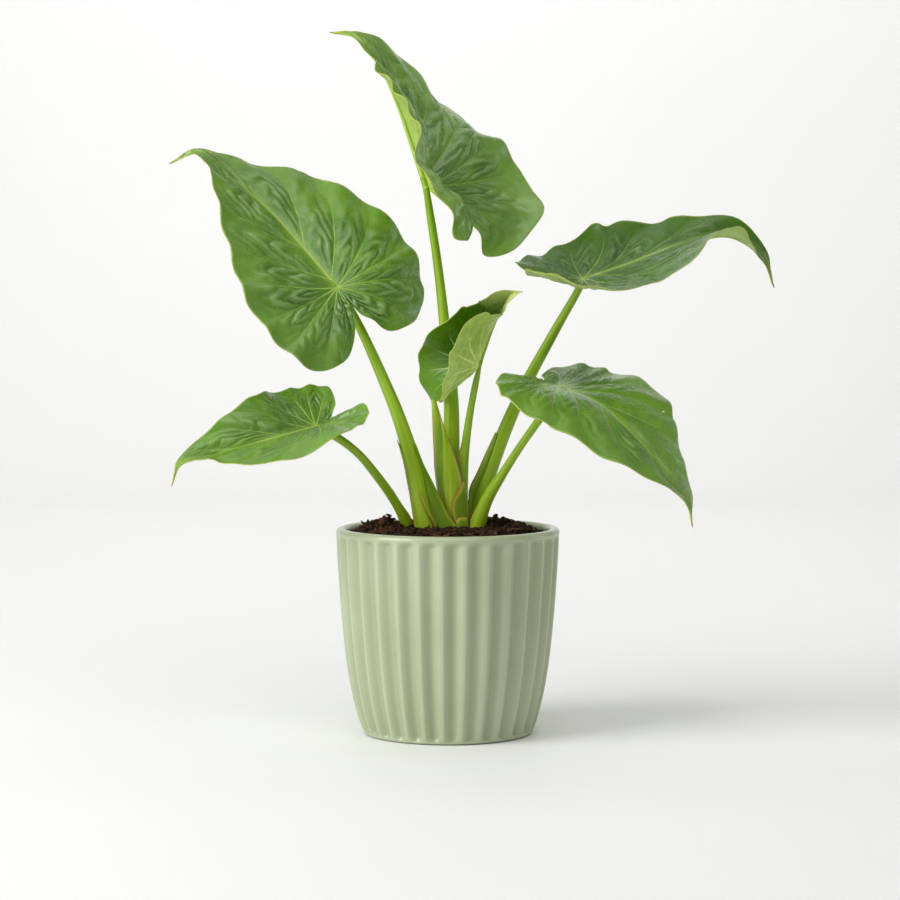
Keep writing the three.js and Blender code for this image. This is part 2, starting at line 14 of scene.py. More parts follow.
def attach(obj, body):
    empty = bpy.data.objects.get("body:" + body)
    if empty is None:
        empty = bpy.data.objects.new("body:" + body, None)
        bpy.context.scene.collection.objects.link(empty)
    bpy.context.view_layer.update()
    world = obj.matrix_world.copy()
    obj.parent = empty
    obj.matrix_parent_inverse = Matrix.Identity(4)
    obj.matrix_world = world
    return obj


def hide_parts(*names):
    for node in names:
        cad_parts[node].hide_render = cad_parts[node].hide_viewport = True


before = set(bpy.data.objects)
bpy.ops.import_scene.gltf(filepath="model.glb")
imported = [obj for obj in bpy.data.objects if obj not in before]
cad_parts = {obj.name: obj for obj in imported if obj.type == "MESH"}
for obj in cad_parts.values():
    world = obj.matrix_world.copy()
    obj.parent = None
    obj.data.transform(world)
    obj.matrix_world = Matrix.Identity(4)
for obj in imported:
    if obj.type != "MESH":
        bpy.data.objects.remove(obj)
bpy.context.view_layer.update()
scene = bpy.context.scene

MM = 0.001
SEED = 41
CURVE_SAMPLES = 801  # fine samples that an even curve is measured on
NOISE_SHIFT = (17.3, 7.9, 3.1)  # how far each seed moves the noise
rng = np.random.default_rng(SEED)


# -------- curves
def unit(v):
    return v / np.maximum(np.linalg.norm(v, axis=-1, keepdims=True), 1e-12)


def smooth(a, b, x):
    w = np.clip((np.asarray(x, float) - a) / (b - a), 0, 1)
    return w * w * (3 - 2 * w)


def lerp(a, b, w):
    return a + (b - a) * w


def even_curve(points, count):
    """Smooth curve through points of any dimension, sampled evenly by length, and its length."""
    p = np.asarray(points, float)
    root = np.concatenate([[0], np.cumsum(np.sqrt(np.linalg.norm(np.diff(p, axis=0), axis=1)))])
    knots = root / root[-1]
    steps = np.diff(knots)
    chord = np.diff(p, axis=0) / steps[:, None]
    slope = np.empty_like(p)
    slope[0], slope[-1] = chord[0], chord[-1]
    before, after = steps[:-1, None], steps[1:, None]
    slope[1:-1] = (chord[:-1] * after + chord[1:] * before) / (before + after)
    u = np.linspace(0, 1, CURVE_SAMPLES)
    i = np.clip(np.searchsorted(knots, u, side="right") - 1, 0, len(p) - 2)
    h = steps[i][:, None]
    w = (u[:, None] - knots[i][:, None]) / h
    a = 2 * w ** 3 - 3 * w ** 2 + 1
    fine = (a * p[i] + (w ** 3 - 2 * w ** 2 + w) * h * slope[i]
            + (1 - a) * p[i + 1] + (w ** 3 - w ** 2) * h * slope[i + 1])
    run = np.concatenate([[0], np.cumsum(np.linalg.norm(np.diff(fine, axis=0), axis=1))])
    want = np.linspace(0, run[-1], count)
    return np.stack([np.interp(want, run, column) for column in fine.T], -1), run[-1]


def circle(count):
    """Angles of points set evenly round a circle."""
    return np.linspace(0, 2 * np.pi, count, endpoint=False)


def sample_at(samples, u):
    """Linear look-up in evenly spaced samples, u 0..1."""
    k = np.clip(u, 0, 1) * (len(samples) - 1)
    i = np.clip(np.floor(k).astype(int), 0, len(samples) - 2)
    w = (k - i)[..., None]
    return samples[i] * (1 - w) + samples[i + 1] * w


def noise_at(points, scale, seed=0.0):
    """Smooth noise about -1..1 at points, given in mm, with features of about scale mm."""
    shift = Vector([seed * move for move in NOISE_SHIFT])
    flat = np.asarray(points, float).reshape(-1, np.shape(points)[-1])
    if flat.shape[1] == 2:
        flat = np.column_stack([flat, np.zeros(len(flat))])
    values = [noise.noise(Vector(p) / scale + shift) for p in flat.tolist()]
    return np.array(values).reshape(np.shape(points)[:-1])


# -------- meshes
def mesh_object(name, points, faces, materials, face_material=None, corner=None, point=None):
    """Object with a smooth-shaded mesh; corner and point are {attribute name: array}."""
    mesh = bpy.data.meshes.new(name)
    mesh.from_pydata((np.asarray(points) * MM).tolist(), [], faces)
    for material in materials:
        mesh.materials.append(material)
    if face_material is not None:
        mesh.polygons.foreach_set("material_index", np.asarray(face_material, np.int32))
    mesh.polygons.foreach_set("use_smooth", np.ones(len(mesh.polygons), bool))
    for domain, table in (("CORNER", corner or {}), ("POINT", point or {})):
        for key, values in table.items():
            values = np.asarray(values, np.float32)
            kind = "FLOAT_VECTOR" if values.ndim == 2 else "FLOAT"
            field = "vector" if values.ndim == 2 else "value"
            mesh.attributes.new(key, kind, domain).data.foreach_set(field, values.ravel())
    mesh.update()
    made = bpy.data.objects.new(name, mesh)
    scene.collection.objects.link(made)
    return made


def piece(made, slot, *nodes):
    """Puts a piece on the one body and hides the nodes that it stands for; slot is not used."""
    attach(made, "root")
    if nodes:
        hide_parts(*nodes)


def vertex_normals(points, triangles):
    a, b, c = (points[triangles[:, k]] for k in range(3))
    across = np.cross(b - a, c - a)
    total = np.zeros_like(points)
    for k in range(3):
        np.add.at(total, triangles[:, k], across)
    return unit(total)


def grid_faces(rows, columns, base=0, closed=False, flip=False):
    """Quads of a grid of points in row-major order; closed joins the last column to the first."""
    faces = []
    for i in range(rows - 1):
        for j in range(columns if closed else columns - 1):
            a = base + i * columns + j
            b = base + i * columns + (j + 1) % columns
            quad = (a, b, b + columns, a + columns)
            faces.append(quad[::-1] if flip else quad)
    return faces


def capped_faces(rows, columns, base=0):
    """Faces of a tube made of closed rings of points, with a flat face on each end."""
    last = base + (rows - 1) * columns
    caps = [tuple(range(base, base + columns))[::-1], tuple(range(last, last + columns))]
    return grid_faces(rows, columns, base, closed=True) + caps


def ring_at(radius, angle, z, x=0.0, y=0.0):
    """Points of a level ring round an upright axis."""
    return np.stack([x + radius * np.cos(angle), y + radius * np.sin(angle), np.full_like(angle, z)], -1)


def tube_points(centre, radius, right, back, angle):
    """Points of rings across a path, ring by ring."""
    around = (np.cos(angle)[None, :, None] * right[:, None]
              + np.sin(angle)[None, :, None] * back[:, None])
    return (centre[:, None] + radius[:, None, None] * around).reshape(-1, 3)


# -------- node materials
MIX_INPUTS = (0, 6, 7)  # factor and the two colours, among the sockets of a Mix node
MIX_OUTPUT = 2


def colour(code):
    """Linear colour of a six-digit sRGB code."""
    parts = [int(code[k:k + 2], 16) / 255 for k in (0, 2, 4)]
    return (*[c / 12.92 if c <= 0.04045 else ((c + 0.055) / 1.055) ** 2.4 for c in parts], 1.0)


class Shader:
    """A procedural material on one Principled surface, built node by node."""

    def __init__(self, name, **inputs):
        self.material = bpy.data.materials.new(name)
        self.material.use_nodes = True
        self.tree = self.material.node_tree
        self.surface = self.tree.nodes["Principled BSDF"]
        for key, value in inputs.items():
            self.set(key.replace("_", " "), value)

    def set(self, socket, value):
        self.join(value, self.surface.inputs[socket])

    def join(self, value, socket):
        """Links a socket to another one, or gives it a value; a string is a colour's code."""
        if isinstance(value, bpy.types.NodeSocket):
            self.tree.links.new(value, socket)
        else:
            socket.default_value = colour(value) if isinstance(value, str) else value

    def node(self, kind, *values, **settings):
        made = self.tree.nodes.new("ShaderNode" + kind)
        for key, value in settings.items():
            setattr(made, key, value)
        for socket, value in zip(made.inputs, values):
            if value is not None:
                self.join(value, socket)
        return made

    def math(self, operation, *values):
        return self.node("Math", *values, operation=operation).outputs[0]

    def times(self, a, b):
        return self.math("MULTIPLY", a, b)

    def step(self, value, low, high, bottom=0.0, top=1.0):
        made = self.node("MapRange", value, low, high, bottom, top, interpolation_type="SMOOTHSTEP")
        return made.outputs[0]

    def mix(self, factor, a, b):
        made = self.node("Mix", data_type="RGBA")
        for k, value in zip(MIX_INPUTS, (factor, a, b)):
            self.join(value, made.inputs[k])
        return made.outputs[MIX_OUTPUT]

    def cover(self, base, coat, value, low, high, most=1.0, least=0.0):
        """Colour base, with coat over it by least where value is low and by most where it is high."""
        return self.mix(self.step(value, low, high, least, most), base, coat)

    def attribute(self, name):
        return self.node("Attribute", attribute_name=name).outputs["Vector"]

    def value(self, name):
        return self.node("Attribute", attribute_name=name).outputs["Fac"]

    def place(self):
        return self.node("TexCoord").outputs["Object"]

    def split(self, vector):
        return self.node("SeparateXYZ", vector).outputs

    def noise(self, vector, scale, detail=2.0, roughness=0.5):
        made = self.node("TexNoise", noise_dimensions="3D")
        inputs = {"Vector": vector, "Scale": scale, "Detail": detail, "Roughness": roughness}
        for key, value in inputs.items():
            self.join(value, made.inputs[key])
        return made.outputs[0]

    def bump(self, height, distance, strength):
        made = self.node("Bump")
        for key, value in (("Strength", strength), ("Distance", distance), ("Height", height)):
            self.join(value, made.inputs[key])
        return made.outputs[0]


# -------- leaves
# Places and lengths on a blade are shares of its midrib, from the stalk to the tip, where no unit is given
VEINS = 9  # side veins in each half
LEAF_OUTLINE = [
    (0, 1), (0.012, 0.92), (0.05, 0.855), (0.15, 0.71), (0.27, 0.52), (0.38, 0.29), (0.43, 0.09),
    (0.415, -0.1), (0.36, -0.27), (0.25, -0.385), (0.12, -0.37), (0.035, -0.25), (0, -0.12),
]
LEAF_HALF_WIDTH = 0.43
TIP_ZONE = 0.28  # veins that end beyond it start along the midrib
LOBE_LENGTH = 0.4
LOBE_BEND = 0.1  # where the spread of the lobes sets in
BEND_PLACES = (-0.4, 0.2, 1)  # that the three values of fold and of curl are for
SCALLOP = 0.016
VEIN_BEND = 0.16
VEIN_BEND_FADE = (-0.3, 0.3)
MARGIN_START = (0.04, 0.2)  # of the outline: where its scallops and waves set in
MARGIN_END = (0.9, 1)  # and where its waves end
PATH_SAMPLES = 121
LINES = VEINS * 16  # steps of the mesh round half a blade
STEPS = 44  # and from its midrib to its margin
SHEET = 0.35  # half thickness of the visible blade, mm
SHEET_THINNING = 0.35  # share by which its margin is thinner
MARGIN_ZONE = (0.9, 1)  # of the way to the margin: where it thins
HOLE_RADIUS = 1.7  # of the small hole in a blade, mm
RIDGE = 0.5  # height of a side vein under the blade, mm
RIDGE_TAPER = 0.75
RIDGE_WIDTH = (1.3, 0.6)  # half width at its start and end, mm
SWELL_RATIO = 0.15  # height of the quilting for each mm between two veins
SWELL_MOST = 2.8  # and its most, mm
FOLD_HEIGHT = 2.5  # of the lesser folds across the quilting, mm
FOLD_COUNT = 4.6
FOLD_SLANT, FOLD_WANDER, FOLD_SHIFT = 0.3, 0.6, 0.37
FOLD_SPACING = (3, 13)  # mm between veins at which they set in
CRUMPLE_SPACING = 10  # and below which the finest ones fade
QUILT_START = (0.02, 0.35)  # of the way to the margin: where all these set in
QUILT_END = (0.62, 0.98)  # and where they fade
QUILT_FADE = 0.85
HALF_SHIFT, LEAF_SHIFT = 400, 40.0  # mm between the noise of two halves, and of two leaves
KEEL_ENDS = (-0.012, 0.985)  # of the thick midrib under the blade
KEEL_RADII = (2.6, 0.45)  # at its foot and tip, mm
KEEL_BLADE = 170  # length of the blade that they are for, mm
KEEL_TAPER = 0.75
KEEL_SUNK = 0.86  # depth of its axis under the blade, in radii
UPPER, UNDER, RIM, KEEL = range(4)  # the order of a blade's materials

# midrib: points, mm. face: azimuth and elevation that it faces at its foot, middle and tip, degrees. width,
# fold, curl: of the left and right half, the last two in degrees. rise, spread, lobe: bends and length of
# the lobes. wave, phase: of the margin. relief: share of the quilting. hole: place on the flat blade, mm.
LEAVES = {
    "left_low": dict(
        wave=0.008, phase=0.5, width=(0.94, 0.77),
        midrib=[(-99, -32, 235), (-124, -50, 229), (-151, -60, 222), (-177, -66, 215), (-196, -76, 209),
                (-202, -81, 194)],
        face=[(-44, 29), (-30, 30), (-35, 35)],
        fold=[(24, 20, 40), (20, 23, 25)], curl=[(-20, -11, 0), (14, 10, 5)],
        rise=0.65, spread=0, lobe=0.55, relief=0.65),
    "left_high": dict(
        wave=0.012, phase=0, width=(1, 1.03),
        midrib=[(-84, -3, 339), (-109, 8, 368), (-136, 16, 397), (-167, 24, 424), (-192, 27, 442),
                (-214, 33, 434)],
        face=[(40, -4), (42, 5), (65, 30)],
        fold=[(-8, 4, 26), (4, 14, -12)], curl=[(12, 4, -6), (-30, -19, -4)],
        rise=-0.4, spread=0, lobe=0.71),
    "top": dict(
        wave=0.014, phase=1, width=(0.83, 1.23),
        midrib=[(-15, 16, 416), (-26, 28, 447), (-38, 40, 480), (-53, 46, 511), (-71, 41, 531),
                (-91, 42, 535)],
        face=[(96, 16), (92, 23), (15, 62)],
        fold=[(4, 24, 1), (8, 90, 13)], curl=[(-79, -38, -69), (133, -55, -116)],
        rise=-1.37, spread=1.98, lobe=0.99),
    "young": dict(
        wave=0.01, phase=0.4, width=(1.31, 1.3),
        midrib=[(23, -21, 281), (28, -20, 295), (34, -15, 310), (41, -14, 324), (48, -21, 335),
                (56, -39, 336)],
        face=[(-79, 21), (-33, 18), (-63, -25)],
        fold=[(-5, 83, 63), (13, 47, 39)], curl=[(38, 41, 49), (3, 15, 18)],
        rise=-0.21, spread=0.86, lobe=1.14, relief=0.3),
    "right_high": dict(
        wave=0.008, phase=0.8, width=(0.86, 1.13),
        midrib=[(103, 12, 346), (139, 14, 358), (177, 27, 372), (218, 45, 379), (244, 53, 362),
                (253, 50, 339)],
        face=[(-53, 67), (-21, 70), (15, 14)],
        fold=[(3, -9, -4), (9, -10, 56)], curl=[(-9, 60, 15), (18, 25, 33)],
        rise=-0.44, spread=1.07, lobe=0.61, relief=0.7),
    "right_low": dict(
        wave=0.007, phase=0.3, width=(1.05, 1),
        midrib=[(83, -36, 265), (112, -55, 253), (136, -74, 231), (158, -83, 206), (174, -87, 185),
                (178, -90, 165)],
        face=[(36, 70), (25, 48), (38, 50)],
        fold=[(-8, 0, 4), (14, 10, 18)], curl=[(26, -1, -38), (-22, -25, -28)],
        rise=-0.04, spread=0, lobe=0.48, relief=0.5, hole=(-45.2, 61.4)),
}

outline, _ = even_curve(LEAF_OUTLINE, 401)


def facing(azimuth, elevation):
    a, e = math.radians(azimuth), math.radians(elevation)
    return np.array([math.sin(a) * math.cos(e), -math.cos(a) * math.cos(e), math.sin(e)])


def flat_point(s, t):
    """Place on the flat blade: s runs round the outline from the tip, t from the midrib to the margin."""
    o = sample_at(outline, s)
    ox, oy = o[..., 0], o[..., 1]
    start = np.clip((oy - TIP_ZONE) / (1 - TIP_ZONE), 0, 1) ** 2
    reach = np.hypot(ox, oy - start)
    bend = VEIN_BEND * reach * t * (1 - t) * smooth(*VEIN_BEND_FADE, oy)
    return ox * t, start + (oy - start) * t - bend


class Blade:
    """The middle surface of a blade, bent in space along its midrib."""

    def __init__(self, leaf):
        self.leaf = leaf
        self.path, self.length = even_curve(leaf["midrib"], PATH_SAMPLES)
        ahead, behind = np.roll(self.path, -1, 0), np.roll(self.path, 1, 0)
        ahead[-1], behind[0] = self.path[-1], self.path[0]
        along = unit(ahead - behind)
        faces = np.array([facing(*f) for f in leaf["face"]])
        u = np.linspace(0, 1, PATH_SAMPLES)
        normal = np.stack([np.interp(u, (0, 0.5, 1), faces[:, k]) for k in range(3)], -1)
        normal = unit(normal - (normal * along).sum(-1, keepdims=True) * along)
        self.rows = np.hstack([self.path, along, normal])

    def frame(self, y):
        """Point on the midrib or its line on behind, the way along it and the way the blade faces."""
        row = sample_at(self.rows, y)
        p, along, normal = row[..., :3], unit(row[..., 3:6]), unit(row[..., 6:])
        back = (np.minimum(y, 0) * self.length * self.leaf["lobe"])[..., None]
        start = LOBE_BEND * self.length
        lift = self.leaf["rise"] * back ** 2 / (LOBE_LENGTH * self.length)
        lift = lift + self.leaf["spread"] * (np.hypot(back, start) - start)
        p = p + along * back + normal * lift
        return p, along, normal

    def point(self, side, s, t):
        """Points of one half, their places along the midrib and their places on the flat blade in mm."""
        half = 0 if side < 0 else 1
        leaf = self.leaf
        x, y = flat_point(s, t)
        p, along, normal = self.frame(y)
        across = np.cross(along, normal)
        slope = np.radians(np.interp(y, BEND_PLACES, leaf["fold"][half]))
        turn = np.radians(np.interp(y, BEND_PLACES, leaf["curl"][half])) * x / LEAF_HALF_WIDTH
        scallop = 1 - SCALLOP * t ** 3 * np.cos(2 * np.pi * VEINS * s) * smooth(*MARGIN_START, s)
        reach = x * scallop * self.length * leaf["width"][half] * np.sinc(turn / 2 / np.pi)
        ripple = (leaf["wave"] * self.length * t ** 2 * np.sin(2 * np.pi * VEINS * s + leaf["phase"] * side)
                  * smooth(*MARGIN_START, s) * (1 - smooth(*MARGIN_END, s)))
        p = p + across * (side * reach * np.cos(slope + turn / 2))[..., None]
        p = p + normal * (reach * np.sin(slope + turn / 2) + ripple)[..., None]
        flat = np.stack([side * x * self.length * leaf["width"][half], y * self.length], -1)
        return p, y, flat


def relief(v, t, spacing, flat, seed):
    """Heights in mm of the quilting between the veins, and of the lesser folds in it."""
    off = np.abs(v - np.floor(v) - 0.5) * 2
    inside = smooth(*QUILT_START, t) * (1 - QUILT_FADE * smooth(*QUILT_END, t))
    uneven = 0.8 + 0.6 * noise_at(flat, 22, seed)
    swell = np.minimum(SWELL_RATIO * spacing, SWELL_MOST) * (1 - off ** 2.2) * inside * uneven
    wander = noise_at(flat, 16, seed + 5) + 0.45 * noise_at(flat, 7, seed + 7)
    turns = (t - FOLD_SLANT * (1 - off)) * FOLD_COUNT + FOLD_WANDER * wander + FOLD_SHIFT * np.floor(v)
    ribs = np.abs(np.sin(np.pi * turns)) ** 0.9
    patchy = np.clip(0.8 + 0.9 * noise_at(flat, 24, seed + 9), 0.2, 1.4)
    strength = FOLD_HEIGHT * smooth(*FOLD_SPACING, spacing) * patchy
    crumple = 0.55 * noise_at(flat, 9, seed + 3) + 0.12 * noise_at(flat, 4, seed + 4)
    lesser = (strength * (ribs - 0.6) * (1 - off ** 4)
              + crumple * np.minimum(spacing / CRUMPLE_SPACING, 1)) * inside
    return swell, lesser


def blade_grid(blade, seed):
    """Both halves of a blade's middle surface: what is known at each point, and its quads."""
    s, t = np.meshgrid(np.linspace(0, 1, LINES + 1), np.linspace(0, 1, STEPS + 1), indexing="ij")
    quads, halves = [], []
    for side in (-1, 1):
        p, y, flat = blade.point(side, s, t)
        spacing = np.linalg.norm(np.gradient(p, s[:, 0], axis=0), axis=-1) / VEINS
        swell, lesser = (blade.leaf.get("relief", 1) * height
                         for height in relief(VEINS * s, t, spacing, flat + [0, HALF_SHIFT * side], seed))
        table = {
            "points": p,
            "veins": np.stack([VEINS * s, spacing, t], -1),
            "flat": np.stack([flat[..., 0], flat[..., 1], np.full_like(y, LEAF_SHIFT * seed)], -1),
            "rib": np.hypot(flat[..., 0], np.minimum(flat[..., 1], 0) * blade.leaf["lobe"]),
            "along": y,
            "rise": swell + lesser,
            "fold": lesser,
        }
        halves.append({key: value.reshape(s.size, *value.shape[2:]) for key, value in table.items()})
        quads += grid_faces(LINES + 1, STEPS + 1, base=s.size if side > 0 else 0, flip=side > 0)
    return {key: np.concatenate([half[key] for half in halves]) for key in halves[0]}, quads


def weld(points, quads):
    """Joins points that coincide: numbers of the points kept, faces in them, and the faces' own corners."""
    _, first, same = np.unique(np.round(points, 3) + 0.0, axis=0, return_index=True, return_inverse=True)
    same = same.ravel()
    faces, corners = [], []
    for quad in quads:
        kept = []
        for c in quad:
            if same[c] not in [same[k] for k in kept]:
                kept.append(c)
        if len(kept) > 2:
            faces.append([int(same[c]) for c in kept])
            corners.append(kept)
    return first, faces, corners


def blade_piece(name, materials):
    """A blade with both its faces, its margin and its keel, in one mesh."""
    blade = Blade(LEAVES[name])
    seed = 1 + list(LEAVES).index(name)
    sheet, quads = blade_grid(blade, seed)
    if "hole" in blade.leaf:
        away = np.linalg.norm(sheet["flat"][np.array(quads)].mean(1)[:, :2] - blade.leaf["hole"], axis=1)
        quads = [quad for quad, d in zip(quads, away) if d > HOLE_RADIUS]
    first, faces, corners = weld(sheet["points"], quads)

    triangles = np.array([(f[0], f[k], f[k + 1]) for f in faces for k in range(1, len(f) - 1)])
    middle = sheet["points"][first]
    middle = middle + vertex_normals(middle, triangles) * sheet["rise"][first][:, None]
    normal = vertex_normals(middle, triangles)
    v, spacing, reach = sheet["veins"][first].T
    half = SHEET * (1 - SHEET_THINNING * smooth(*MARGIN_ZONE, reach))
    off = np.abs(v - np.round(v)) * spacing
    ridge = (RIDGE * (1 - RIDGE_TAPER * reach) * np.exp(-(off / lerp(*RIDGE_WIDTH, reach)) ** 2)
             * smooth(0, 0.1, reach))
    upper = middle + normal * half[:, None]
    under = middle - normal * (half + ridge)[:, None]

    count = len(middle)
    edges = {(f[k], f[(k + 1) % len(f)]): (c[k], c[(k + 1) % len(c)])
             for f, c in zip(faces, corners) for k in range(len(f))}
    rims = [(pair, edges[pair]) for pair in edges if pair[::-1] not in edges]
    keel, keel_faces, keel_along = keel_tube(blade, 2 * count)
    all_faces = [tuple(f) for f in faces]
    all_faces += [tuple(k + count for k in f[::-1]) for f in faces]
    all_faces += [(a, a + count, b + count, b) for (a, b), _ in rims]
    kinds = [UPPER] * len(faces) + [UNDER] * len(faces) + [RIM] * len(rims) + [KEEL] * len(keel_faces)

    origin = [k for c in corners for k in c] + [k for c in corners for k in c[::-1]]
    origin += [k for _, (a, b) in rims for k in (a, a, b, b)]
    keel_origin = [k - 2 * count for f in keel_faces for k in f]
    corner = {}
    for key in ("veins", "flat", "rib", "along", "fold"):
        on_keel = np.zeros((len(keel_origin), *sheet[key].shape[1:]))
        if key == "along":
            on_keel = keel_along[keel_origin]
        corner[key] = np.concatenate([sheet[key][origin], on_keel])
    made = mesh_object(
        "leaf_blade_" + name, np.vstack([upper, under, keel]), all_faces + keel_faces, materials, kinds,
        corner=corner)
    piece(made, "young_blade" if name == "young" else "blade", "blade_" + name)


def keel_radius(blade, y):
    return lerp(*KEEL_RADII, np.clip(y, 0, 1) ** KEEL_TAPER) * (blade.length / KEEL_BLADE)


def keel_tube(blade, base):
    """The thick midrib, a tapered tube half sunk in the blade: points, faces from base on, and places."""
    rings, sides = 70, 12
    y = np.linspace(*KEEL_ENDS, rings)
    p, along, normal = blade.frame(y)
    radius = keel_radius(blade, y)
    centre = p - normal * (KEEL_SUNK * radius)[:, None]
    angle = circle(sides)
    points = tube_points(centre, radius, np.cross(along, normal), normal, angle)
    return points, grid_faces(rings, sides, base, closed=True, flip=True), np.repeat(y, sides)


# -------- stalks
STALK_FOOT = 137  # height that the stalks and the sheath start from
STALK_ENDS = (0.0, 0.05)  # places on the midrib under which a stalk runs on
STALK_SUNK = 0.9  # depth of its axis there, in radii
TUBE_SAMPLES, TUBE_RINGS, TUBE_SIDES = 161, 90, 36
# Paths with a radius for each of their points, in mm
STALKS = {
    "left_low": dict(
        path=[(-24, 5, STALK_FOOT), (-28, 4, 149), (-31, 2, 158.5), (-38, -4, 173), (-51, -14, 193.5),
              (-70, -26, 217), (-90, -32, 231)],
        radius=(4.6, 4.8, 4.7, 3.7, 3.4, 3.1, 3)),
    "left_high": dict(
        path=[(-14, -12, STALK_FOOT), (-15, -12, 149), (-16, -12, 159), (-18.5, -12, 170),
              (-24.8, -9, 202), (-32, -5, 225), (-42.2, 1, 253), (-72, 13, 318)],
        radius=(7, 7.2, 7.1, 6.6, 6, 5.6, 4.8, 3.2)),
    "top": dict(
        path=[(0, 7.5, STALK_FOOT), (0, 8, 150), (0.5, 9.5, 165), (1.8, 10.5, 190), (2.6, 11, 205),
              (2.7, 11.5, 230), (2.2, 12, 257), (-3, 15, 314), (-8.5, 18, 361), (-14, 19, 397)],
        radius=(5, 5, 5.3, 5.7, 6, 6.1, 5.6, 4.1, 3.4, 3)),
    "young": dict(
        path=[(11, 9.5, STALK_FOOT), (10.8, 9, 150), (11, 7.5, 165), (11.2, 5.5, 190), (12, 3, 208),
              (13.8, 0, 224), (17, -5, 246), (21.5, -15, 270)],
        radius=(3.8, 3.9, 4, 4.1, 3.8, 3.2, 2.7, 2.3)),
    "right_high": dict(
        path=[(15, 23, STALK_FOOT), (17, 22, 149), (20.5, 20, 160), (34, 17, 205), (55, 18, 256),
              (80, 18, 303), (96, 16, 331)],
        radius=(6, 6.2, 6.4, 5.9, 4.7, 3.7, 3)),
    "right_low": dict(
        path=[(20, -4, STALK_FOOT), (21, -5.5, 149), (22.5, -8, 158), (29, -12, 178), (39.5, -17, 196),
              (54, -24.5, 219.5), (76, -35, 252)],
        radius=(5.4, 5.6, 5.6, 4.8, 3.6, 3, 3)),
}
# Thin membranes of the sheaths: root curve, free margin and how far each bulges, in mm
FLAPS = {
    "left_low": [
        ([(-43.9, -12, 186.2), (-37.9, -7, 175.1), (-32.1, -3, 165.2), (-27.7, 0, 155)],
         [(-42.2, -9, 187), (-35.2, -5, 175.3), (-28.9, -2, 165.8), (-24.4, 0, 155)], 0.3)],
    "left_high": [
        ([(-26, -11, 221.2), (-21.5, -13, 206.4), (-17.5, -14.5, 193.8), (-14.4, -15.5, 178.7),
          (-11.5, -16, 164.9), (-9.5, -16, 150)],
         [(-24, -9, 219.9), (-18.1, -9, 205), (-11.1, -9.5, 191.1), (-6.7, -10.5, 182.3),
          (-3.3, -11.5, 175.4), (0.9, -12.5, 166.7), (6.5, -13, 160), (13.4, -13.5, 152)], 0.6),
        ([(-37.1, -8, 221.4), (-33, -9, 211.3), (-29.3, -10, 200), (-25.6, -11, 184.9),
          (-23.2, -12, 172.3), (-21.5, -13, 164.8), (-19.9, -13, 152)],
         [(-38.4, -6, 224.3), (-36.1, -7, 215), (-33.8, -8, 206.2), (-31.1, -8, 192.3),
          (-28.8, -9, 179.7), (-27.2, -9, 169.5), (-24.5, -10, 152)], 0.4),
        ([(-19.3, -19.2, 183.5), (-15.7, -19.8, 175.5), (-11.8, -19.2, 167.3),
          (-9.2, -17.2, 160.8), (-7.4, -15, 152)],
         [(-21.7, -18.6, 186.1), (-19.1, -20, 177.5), (-15.3, -20.2, 168.7), (-11.1, -19.6, 161.4),
          (-8.4, -17.6, 152)], 0.4)],
    "young": [
        ([(12.6, -1, 223.2), (11.4, 0.5, 215.5), (10.5, 1.5, 207.8)],
         [(11.7, -1.5, 224.1), (8.9, -0.5, 216), (7.1, 1, 206)], 0.2)],
    "right_high": [
        ([(38, 13, 227.8), (33.5, 12, 213.8), (28.5, 11.5, 201.1), (23.5, 12, 188.3),
          (19.8, 13, 175.4), (18, 14.5, 158)],
         [(36.1, 16, 228.4), (28.3, 14, 211.8), (22.2, 12, 198.5), (16.3, 12, 185.7),
          (15.4, 13, 175.4), (15.6, 14, 158)], 0.4)],
    "right_low": [
        ([(36, -17.5, 194.6), (31, -16, 183.7), (25.5, -13.5, 172.8), (21.5, -13, 163.1),
          (19.6, -11, 152)],
         [(34.3, -15, 195.4), (28, -13, 184.7), (21.1, -11, 172.6), (17.4, -9.5, 164.3),
          (15.6, -8, 152)], 0.4)],
    "sheath": [
        ([(11.9, -5, 191), (14.4, -4, 183), (15.1, -3, 176.6), (15.6, -3, 169), (15.8, -3, 152)],
         [(11.1, -7, 191.9), (6.8, -9.4, 183.2), (3.3, -10, 177), (2.8, -10.4, 170.9),
          (5.8, -11, 158)], 0.6),
        ([(7.8, -13, 152), (11.6, -12, 152), (16, -10, 152)],
         [(5.8, -12, 163.1), (8.6, -11, 165.6), (13.9, -8, 165.5)], 0.8),
        ([(-8, -12.5, 150), (-3.5, -14, 150), (1, -13, 150)],
         [(-9.6, -12, 155), (-7.4, -12.6, 161), (-3.5, -13, 163.5), (0, -12.6, 161.4),
          (2.4, -12.6, 155)], 1.4)],
}
FLAP_HALF = 0.4  # half thickness of a membrane at its root
FLAP_THINNING = 0.6  # share that its free margin is thinner by
FLAP_SHADE = 6  # width of its margin zone
FLAP_UP, FLAP_RISE = 0.3, 100  # how far up the stalk's colours it goes, and over what height


